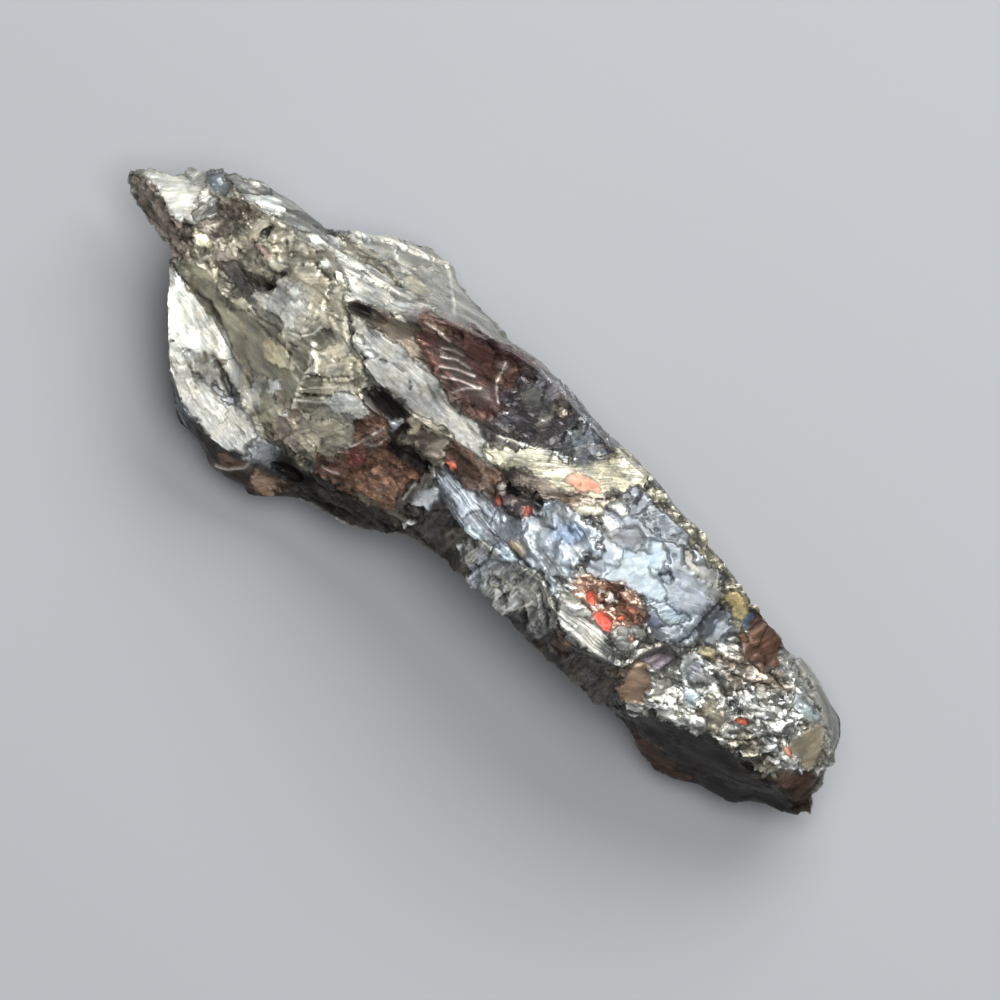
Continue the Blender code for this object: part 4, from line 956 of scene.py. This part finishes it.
RIBS = [
    ([(-14.2, -0.9), (-13.3, -2.4), (-12.9, -3.8), (-12.4, -4.9)], 0.14, 0.12),
    ([(-13.2, -2.5), (-12.3, -1.6), (-11.9, -0.9)], 0.09, 0.08),
    ([(-12.9, -3.8), (-12.0, -2.9), (-11.2, -2.1)], 0.09, 0.08),
    ([(-12.6, -4.5), (-11.6, -3.7), (-10.7, -3.0)], 0.09, 0.08),
    ([(-13.1, -3.4), (-13.9, -3.3), (-14.6, -2.9)], 0.08, 0.06),
    ([(-15.6, 0.9), (-15.1, 0.0), (-15.3, -0.9)], 0.09, 0.06),
    ([(-16.2, -1.5), (-15.2, -1.2), (-14.6, -0.4), (-14.6, 0.5)], 0.09, 0.06),
    ([(-18.7, -0.6), (-17.5, -0.3), (-16.3, -0.6)], 0.08, 0.05),
    ([(-18.6, -1.1), (-17.4, -0.9), (-16.2, -1.1)], 0.08, 0.05),
    ([(-16.9, 6.3), (-15.0, 7.5), (-13.0, 8.2), (-11.2, 8.9)], 0.13, 0.10),
    ([(-11.1, 8.9), (-10.0, 8.1), (-9.0, 7.3), (-8.6, 6.9)], 0.11, 0.08),
    ([(-14.9, 7.5), (-13.6, 6.9), (-12.5, 7.2)], 0.09, 0.07),
    ([(-17.6, 4.7), (-15.6, 4.95), (-13.2, 5.2), (-11.4, 5.5)], 0.10, 0.08),
    ([(-3.0, -3.4), (-2.95, -4.5)], 0.10, 0.10),
    ([(0.4, 5.0), (0.7, 5.9), (0.4, 6.5)], 0.12, 0.06),
    ([(-1.0, 2.8), (1.2, 3.7), (2.6, 4.5)], 0.08, 0.06),
    ([(1.5, 3.0), (3.0, 3.9), (5.6, 5.2)], 0.08, 0.05),
    ([(14.8, -3.0), (15.3, -2.4), (15.4, -1.6), (16.0, -0.4)], 0.12, 0.10),
    ([(5.4, -3.9), (7.6, -4.4), (9.1, -5.2)], 0.09, 0.10),
    ([(5.6, -3.3), (7.9, -3.4), (9.3, -4.4)], 0.09, 0.10),
    ([(7.5, -2.4), (9.5, -3.4)], 0.09, 0.10),
    ([(4.3, -4.1), (6.1, -5.1)], 0.09, 0.10),
    ([(2.1, -3.9), (3.5, -4.5), (4.8, -4.7)], 0.09, 0.10),
]

# Each set of lines, which way it moves the skin, and its painted highlight colour. A crack has none, and only
# darkens, as painted shade.
LINES = [(CRACKS, -1.0, None), (RIPPLES, 1.0, RIPPLE_HIGHLIGHT), (RIBS, 1.0, RIB_HIGHLIGHT)]

# %% [markdown]
# ## Finer triangles where they are needed
#
# A line a tenth of a millimetre wide needs triangles of that size, and so does a small speck. The
# rest of the blank stays as it is.

# %% Finer along the lines
LINE_CUT = 0.115  # the longest edge on a line or a small speck, in mm
LINE_REACH = 0.13  # how far from a line the edges are still cut
LINE_ROUNDS = 2  # how many times they are cut


def cut_along_lines():
    """Splits the edges that lie on a line, or on the outline of a small face, until they are short."""
    drawn = [line for lines, _, _ in LINES for line, _, _ in lines]
    drawn += [[*outline, outline[0]] for name, *_, outline, _, _, _ in patches if name.startswith("speck")]
    for _ in range(LINE_ROUNDS):
        body.normal_update()
        long_edges = [edge for edge in body.edges
                      if edge.calc_length() > LINE_CUT * MM and edge.verts[0].normal.z > 0.0]
        middles = to_grid(np.array([(edge.verts[0].co + edge.verts[1].co) / 2 for edge in long_edges]))
        away = np.full(len(middles), np.inf)
        for line in drawn:
            corners = np.array(line)
            near = np.all((middles[:, :2] > corners.min(0) - LINE_REACH)
                          & (middles[:, :2] < corners.max(0) + LINE_REACH), axis=1)
            away[near] = np.minimum(away[near], distance_to(middles[near][:, :2], line))
        chosen = [long_edges[index] for index in np.flatnonzero(away < LINE_REACH)]
        bmesh.ops.subdivide_edges(body, edges=chosen, cuts=1, use_single_edge=True, use_grid_fill=True)
        bmesh.ops.triangulate(body, faces=[face for face in body.faces if len(face.verts) > 3])


cut_along_lines()
body.normal_update()
body.verts.ensure_lookup_table()
place = to_grid(np.array([vert.co for vert in body.verts]))
normal = np.array([vert.normal for vert in body.verts])
print("cut along the lines:", len(body.faces), "triangles,",
      sum(len(edge.link_faces) != 2 for edge in body.edges), "open edges")

# %% [markdown]
# ## Break the surface
#
# Now every patch is worked into the blank. The patches are laid in order, so a later one covers an
# earlier one, and each brings its height, colour, gloss and grain. The flanks and the underside, which
# no plan can show, are covered first by a mix of the same finishes, chosen cell by cell.

# %% Flanks and underside
FLANK_CELL = 5.5  # the width of a broken face on the flanks, in mm
BEND = 0.9  # how far the outlines of those faces wander, in mm
BEND_WAVES = 0.4  # and with how many waves a millimetre
BEND_SHIFTS = (0.0, 31.0, 67.0)  # shifts in the noise, one for each way
PLATE_TONE = 0.24  # how much lighter or darker than its face a plate is
# The factors under one darken these colours: partly the stone's own darker flanks, partly painted shade on
# the sides and underside.
FLANK_MIX = [
    # colour, finish, angle of the grain
    (STONE_GREY * 0.62, "streaked", 10), (OLIVE * 0.55, "wrinkled", 25), (CHARCOAL, "scaly", 40),
    (TAUPE * 0.9, "wrinkled", 15), (SLATE_BLUE * 0.5, "smooth", 20), (COAL, "smooth", 5),
    (STONE_GREY * 0.8, "hackly", 12), (BROWN * 0.8, "crusted", 0),
]
count = len(place)
height = np.zeros(count)
tint = np.zeros((count, 3))
gloss = np.zeros((count, 2))  # roughness and metallic share
figure = np.zeros((count, 2))  # strength of flakes and of streaks
grain = np.zeros((count, 3))

bent = place + BEND * np.column_stack([noise_at(place * BEND_WAVES + shift) for shift in BEND_SHIFTS])
flank_cells = np.array([noise.cell(noise.voronoi(point)[1][0] * FLANK_SEED)
                        for point in (bent / FLANK_CELL * DRAWN_OUT).tolist()])
chosen = np.floor((flank_cells * 0.5 + 0.5) * 0.999 * len(FLANK_MIX)).astype(int)  # always under the length
print("flank finishes", np.bincount(chosen, minlength=len(FLANK_MIX)))
for index, (colour, finish, angle) in enumerate(FLANK_MIX):
    here = np.flatnonzero(chosen == index)
    surface, roughness, metallic, plated, flakes, streaks, size = FINISHES[finish]
    turned = along_grain(place[here], angle)
    plate_height, plate_tone = plates(turned)
    height[here] = surface(turned) + plated * plate_height
    tint[here] = colour * (1.0 + PLATE_TONE * plated * plate_tone)[:, None]
    gloss[here] = (roughness, metallic)
    figure[here] = (flakes, streaks)
    grain[here] = turned / size

# %% Patches of the upper skin
UPPER_SKIN = (-0.05, 0.12)  # where the normal's Z says that a point belongs to the upper skin
OWN_TILT = 0.05  # how much each face leans of its own, as a slope
COLUMN_RISE = 0.4  # how little a column's pattern changes on its way down
RIM_WIDTH = 0.08  # the width in mm of the line where two faces meet, dark as painted shade in some places and bright as a painted glint in others
RIM_SWING = 0.9  # how much that line comes and goes
RIM_DARK = 0.2  # how much darker than its faces it is on average
TINT_RANGE = (0.35, 1.6)  # the least and the most that it does to a colour
SMALL = 2.4  # a face less than this long keeps a cleaner outline, in mm
CLEAN = 0.35  # how ragged that is, beside the outline of a large face
MARGIN = 0.5  # how far outside its outline a face is still looked for, in mm
MOST_FALL = 0.25  # how far a leaning face rises or sinks at most, in mm
rough_plan, clean_plan = ragged_plan(place, 1.0), ragged_plan(place, CLEAN)
upper = smooth_step(*UPPER_SKIN, normal[:, 2])
rim_shade_and_glint = np.zeros(count)
rim_noise = noise_at(place * 0.9 + 11.0)
for name, colour, finish, angle, outline, lean, drop, soft in patches:
    corners = np.array(outline)
    plan = clean_plan if np.max(np.ptp(corners, axis=0)) < SMALL else rough_plan
    near = np.all((plan > corners.min(0) - MARGIN) & (plan < corners.max(0) + MARGIN), axis=1)
    near = np.flatnonzero(near & (upper > 0.0))
    depth = depth_inside(plan[near], outline)
    share = smooth_step(-soft, soft, depth) * upper[near]
    middle = corners.mean(0)
    own = OWN_TILT * (np.array(noise.cell_vector(Vector((*middle, 5.0))))[:2] * 2.0 - 1.0)
    surface, roughness, metallic, plated, flakes, streaks, size = FINISHES[finish]
    turned = along_grain(place[near], angle, COLUMN_RISE if finish == "columned" else 1.0)
    fall = np.clip((place[near][:, :2] - middle) @ (np.array(lean) + own), -MOST_FALL, MOST_FALL)
    plate_height, plate_tone = plates(turned)
    relief = surface(turned) + plated * plate_height - drop - fall
    height[near] += share * (relief - height[near])
    tone = colour * (1.0 + PLATE_TONE * plated * plate_tone)[:, None]
    tint[near] += share[:, None] * (tone - tint[near])
    gloss[near] += share[:, None] * (np.array((roughness, metallic)) - gloss[near])
    figure[near] += share[:, None] * (np.array((flakes, streaks)) - figure[near])
    grain[near] = np.where(share[:, None] > 0.5, turned / size, grain[near])
    # Painted shade and painted glints along each face's edge.
    rim = np.exp(-(depth / (RIM_WIDTH + soft * 0.5)) ** 2) * (EDGE / max(soft, EDGE)) * upper[near]
    rim_shade_and_glint[near] += rim * (RIM_SWING * rim_noise[near] - RIM_DARK)
tint *= np.clip(1.0 + rim_shade_and_glint, *TINT_RANGE)[:, None]

# %% Lines
fading = np.clip(0.85 + 0.6 * noise_at(place * 0.4 + 3.0), 0.3, 1.0)  # a line comes and goes on its way
fair_plan = place[:, :2] + 0.05 * np.column_stack([noise_at(place * 1.2), noise_at(place * 1.2 + 9.0)])
for lines, sign, colour in LINES:
    for line, width, depth in lines:
        plan = clean_plan if colour is None else fair_plan
        share = np.exp(-(distance_to(plan, line) / width) ** 2) * upper * fading
        height += sign * depth * share
        # A crack darkens as painted shade, and ripples and ribs take their painted highlight.
        if colour is None:
            tint *= (1.0 - (1.0 - CRACK_SHADE) * share)[:, None]
        else:
            tint += share[:, None] * (colour - tint)

# %% [markdown]
# ## Raise the relief
#
# Each point moves along its normal by its height, in sculptor's fashion. The relief fades out just
# above the bed, so the stone still rests flat. Then the colour is lightened where the relief stands above
# its surroundings and darkened where it sinks: painted light on the rises and painted shade in the hollows.

# %% Raise the relief
BED_FADE = 0.5  # mm above the bed over which the relief grows
BLEED = 0.60  # how far a colour runs into its neighbours at most
BLEED_PASSES = 16
WARM_MOTTLE = (0.16, 0.10, 0.0)  # how much each of red, green and blue rises and falls over the surface
RELIEF_SHADING = ((3, 4.0), (14, 2.2))  # smoothing passes, and how strongly each mm of height changes the colour, as painted light and shade
RELIEF_SHADING_RANGE = (0.5, 1.5)  # the least and the most that this painted light and shade does to a colour
fade = smooth_step(0.0, BED_FADE, place[:, 2])
moved = place + normal * (height * fade)[:, None]
moved[:, 2] = np.maximum(moved[:, 2], 0.0)
for vert, target in zip(body.verts, (moved + GRID_ORIGIN) * MM):
    vert.co = target
pairs = np.array([[edge.verts[0].index, edge.verts[1].index] for edge in body.edges])
degree = np.bincount(pairs.ravel(), minlength=count)


def averaged(values, passes):
    """The values smoothed over the surface, each point with the points around it."""
    for _ in range(passes):
        total = np.bincount(pairs[:, 0], values[pairs[:, 1]], count)
        total += np.bincount(pairs[:, 1], values[pairs[:, 0]], count)
        values = 0.5 * values + 0.5 * total / degree
    return values


bleed = smooth_step(-0.35, 0.5, noise_at(place * 0.8 + 5.0))[:, None] * BLEED
spread = np.column_stack([averaged(tint[:, channel], BLEED_PASSES) for channel in range(3)])
tint += bleed * (spread - tint)
warm = noise_at(place * 1.3 + 23.0)
tint *= 1.0 + warm[:, None] * np.array(WARM_MOTTLE)
# Painted light on the rises and painted shade in the hollows of the relief.
for passes, strength in RELIEF_SHADING:
    tint *= np.clip(1.0 + strength * (height - averaged(height, passes)), *RELIEF_SHADING_RANGE)[:, None]
print("relief from", round(height.min(), 2), "to", round(height.max(), 2), "mm")

# %% The piece
SHARP = math.radians(14.0)  # an edge that turns more than this stays sharp in the shading
mesh = bpy.data.meshes.new("shungite")
for face in body.faces:
    face.smooth = True
for edge in body.edges:
    edge.smooth = edge.calc_face_angle(0.0) < SHARP
body.to_mesh(mesh)
body.free()
layers = {
    "tint": ("FLOAT_COLOR", "color", np.column_stack((np.clip(tint, 0.0, 1.0), np.ones(count)))),
    "gloss": ("FLOAT_VECTOR", "vector", np.column_stack((gloss, np.zeros(count)))),
    "figure": ("FLOAT_VECTOR", "vector", np.column_stack((figure, np.zeros(count)))),
    "grain": ("FLOAT_VECTOR", "vector", grain),
}
for name, (kind, field, values) in layers.items():
    layer = mesh.attributes.new(name, kind, "POINT")
    layer.data.foreach_set(field, values.astype(np.float32).ravel())
stone = bpy.data.objects.new("shungite_stone", mesh)
bpy.context.scene.collection.objects.link(stone)
print("stone:", len(mesh.polygons), "triangles")

# %% [markdown]
# ## The shader
#
# The mesh carries four layers: the tint, the gloss, the figure and the grain. The shader adds what is
# finer than the mesh. Flakes are small cells, each with its own lightness, gloss and tilt, and dark gaps
# between them. Streaks follow the grain. A few flakes, and the crests of some streaks, get a painted
# highlight: a nearly white colour. The figure says how strong flakes and streaks are on each face.

# %% Shader tools
HALF = (0.5, 0.5, 0.5)  # taken off a random colour, it leaves a random direction
NOISE_GRIT = 0.62  # how strong the finer waves of a noise are


class Recipe:
    """A material's node tree, with short names for the few kinds of node that this stone needs."""

    def __init__(self, name):
        self.material = bpy.data.materials.new(name)
        self.material.use_nodes = True
        self.tree = self.material.node_tree
        self.shader = self.tree.nodes["Principled BSDF"]

    def node(self, kind, inputs, **settings):
        made = self.tree.nodes.new(kind)
        for key, value in settings.items():
            setattr(made, key, value)
        for socket, value in inputs.items():
            if isinstance(value, bpy.types.NodeSocket):
                self.tree.links.new(value, made.inputs[socket])
            else:
                made.inputs[socket].default_value = value
        return made

    def layer(self, name, output="Vector"):
        return self.node("ShaderNodeAttribute", {}, attribute_name=name).outputs[output]

    def split(self, vector):
        return self.node("ShaderNodeSeparateXYZ", {0: vector}).outputs

    def calc(self, operation, first, second=0.0, third=0.0):
        return self.node("ShaderNodeMath", {0: first, 1: second, 2: third}, operation=operation).outputs[0]

    def vector(self, operation, first, second, output=0):
        return self.node("ShaderNodeVectorMath", {0: first, 1: second}, operation=operation).outputs[output]

    def noise(self, vector, detail, output=0):
        inputs = {"Vector": vector, "Scale": 1.0, "Detail": detail, "Roughness": NOISE_GRIT}
        return self.node("ShaderNodeTexNoise", inputs).outputs[output]

    def cells(self, vector, feature="F1"):
        inputs = {"Vector": vector, "Scale": 1.0}
        return self.node("ShaderNodeTexVoronoi", inputs, feature=feature).outputs

    def between(self, value, low, high, to_low, to_high):
        """The value's way from low to high, as a soft way from to_low to to_high."""
        inputs = {"Value": value, "From Min": low, "From Max": high, "To Min": to_low, "To Max": to_high}
        made = self.node("ShaderNodeMapRange", inputs, interpolation_type="SMOOTHSTEP")
        return made.outputs[0]

    def mix(self, share, first, second):
        """first where share is 0, second where it is 1."""
        return self.calc("MULTIPLY_ADD", share, self.calc("SUBTRACT", second, first), first)

    def tilt(self, cells, vector):
        """The height of a small flat face in each cell, tilted its own way."""
        offset = self.vector("SUBTRACT", vector, cells["Position"])
        own = self.vector("SUBTRACT", cells["Color"], HALF)
        return self.vector("DOT_PRODUCT", offset, own, "Value")

    def lead(self, value, socket):
        """Leads a value into one of the shader's own sockets."""
        self.tree.links.new(value, self.shader.inputs[socket])


# %% Shader
# How many there are along the grain, across it and in depth, in the length of a finish's flake size.
FLAKE = (1.7, 3.3, 3.3)
CHIP = (4.6, 8.0, 8.0)  # smaller flakes, laid over those
FINE_STREAK = (0.45, 9.0, 2.5)
BROAD_STREAK = (0.22, 3.4, 1.2)
MOTTLE = (0.9, 1.3, 1.3)
GRAIN_BEND = (0.7, 0.7, 0.7)
GRAIN_REACH = (0.4, 0.4, 0.4)  # how far the grain bends, in the same length
EVEN_SHARES = (0.33, 0.34, 0.33)  # a colour's brightness is the mean of red, green and blue
# The colour of the painted highlights.
GLINT_COLOUR = (0.92, 0.93, 0.90, 1.0)
BUMP_HEIGHT = 0.08  # in mm


def stone_material():
    """Tint, gloss, figure and grain in, and one finished material out."""
    recipe = Recipe("elite_shungite")
    calc, mix, between, vector = recipe.calc, recipe.mix, recipe.between, recipe.vector
    tint_layer = recipe.layer("tint", "Color")
    roughness, metallic, _ = recipe.split(recipe.layer("gloss"))
    flaky, streaky, _ = recipe.split(recipe.layer("figure"))
    straight = recipe.layer("grain")
    bend = recipe.noise(vector("MULTIPLY", straight, GRAIN_BEND), 2.0, "Color")
    bend = vector("MULTIPLY", vector("SUBTRACT", bend, HALF), GRAIN_REACH)
    along = vector("ADD", straight, bend)

    flake_space = vector("MULTIPLY", along, FLAKE)
    flake = recipe.cells(flake_space)
    flake_edge = recipe.cells(flake_space, "DISTANCE_TO_EDGE")["Distance"]
    chip_space = vector("MULTIPLY", along, CHIP)
    chip = recipe.cells(chip_space)
    flake_own = recipe.split(flake["Color"])[0]
    chip_own, chip_gloss, chip_glint = recipe.split(chip["Color"])
    fine = recipe.noise(vector("MULTIPLY", along, FINE_STREAK), 3.0)
    broad = recipe.noise(vector("MULTIPLY", along, BROAD_STREAK), 2.0)
    mottle = recipe.noise(vector("MULTIPLY", along, MOTTLE), 5.0)

    chip_light = between(chip_own, 0.0, 1.0, 0.8, 1.2)
    flake_light = calc("MULTIPLY", between(flake_own, 0.1, 1.0, 0.55, 1.55), chip_light)
    flake_light = calc("MULTIPLY", flake_light, between(flake_edge, 0.0, 0.08, 0.5, 1.0))
    broad_light = between(broad, 0.36, 0.64, 0.80, 1.20)
    streak_light = calc("MULTIPLY", between(fine, 0.36, 0.64, 0.70, 1.30), broad_light)
    light = calc("MULTIPLY", mix(flaky, 1.0, flake_light), mix(streaky, 1.0, streak_light))
    light = calc("MULTIPLY", light, between(mottle, 0.32, 0.68, 0.78, 1.22))
    lit = recipe.node("ShaderNodeVectorMath", {0: tint_layer, "Scale": light}, operation="SCALE")

    # Painted highlights: a few flakes and the crests of some fine streaks turn nearly white, however the
    # light falls.
    flaky_share = between(flaky, 0.2, 1.0, 0.0, 0.9)
    flake_glint = calc("MULTIPLY", between(chip_glint, 0.90, 0.94, 0.0, 1.0), flaky_share)
    streak_glint = calc("MULTIPLY", between(fine, 0.66, 0.72, 0.0, 1.0), between(streaky, 0.3, 1.0, 0.0, 0.8))
    glint = calc("MAXIMUM", flake_glint, streak_glint)
    brightness = vector("DOT_PRODUCT", tint_layer, EVEN_SHARES, "Value")
    glint = calc("MULTIPLY", glint, between(brightness, 0.06, 0.35, 0.05, 1.0))
    shown = recipe.node("ShaderNodeMix", {0: glint, 6: lit.outputs[0], 7: GLINT_COLOUR}, data_type="RGBA")
    recipe.lead(shown.outputs[2], "Base Color")

    rough = calc("ADD", roughness, calc("MULTIPLY", calc("SUBTRACT", chip_gloss, 0.5), 0.25))
    rough = calc("ADD", rough, calc("MULTIPLY", calc("SUBTRACT", mottle, 0.5), 0.3))
    recipe.lead(calc("MAXIMUM", rough, 0.08), "Roughness")

    recipe.lead(between(brightness, 0.01, 0.18, 0.10, 0.5), "Specular IOR Level")
    dark_metal = calc("MULTIPLY", metallic, between(brightness, 0.0, 0.12, 0.2, 1.0))
    recipe.lead(calc("MULTIPLY", dark_metal, calc("SUBTRACT", 1.0, glint)), "Metallic")

    chip_relief = calc("MULTIPLY", recipe.tilt(chip, chip_space), 0.5)
    flake_relief = calc("MULTIPLY", calc("ADD", recipe.tilt(flake, flake_space), chip_relief), flaky)
    streak_relief = calc("MULTIPLY", calc("ADD", fine, broad), calc("MULTIPLY", streaky, 0.8))
    relief = calc("ADD", flake_relief, streak_relief)
    bump = recipe.node("ShaderNodeBump", {"Strength": 1.0, "Distance": BUMP_HEIGHT * MM, "Height": relief})
    recipe.lead(bump.outputs[0], "Normal")
    return recipe.material


mesh.materials.append(stone_material())

# %% Hand over
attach(stone, "root")
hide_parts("stone")
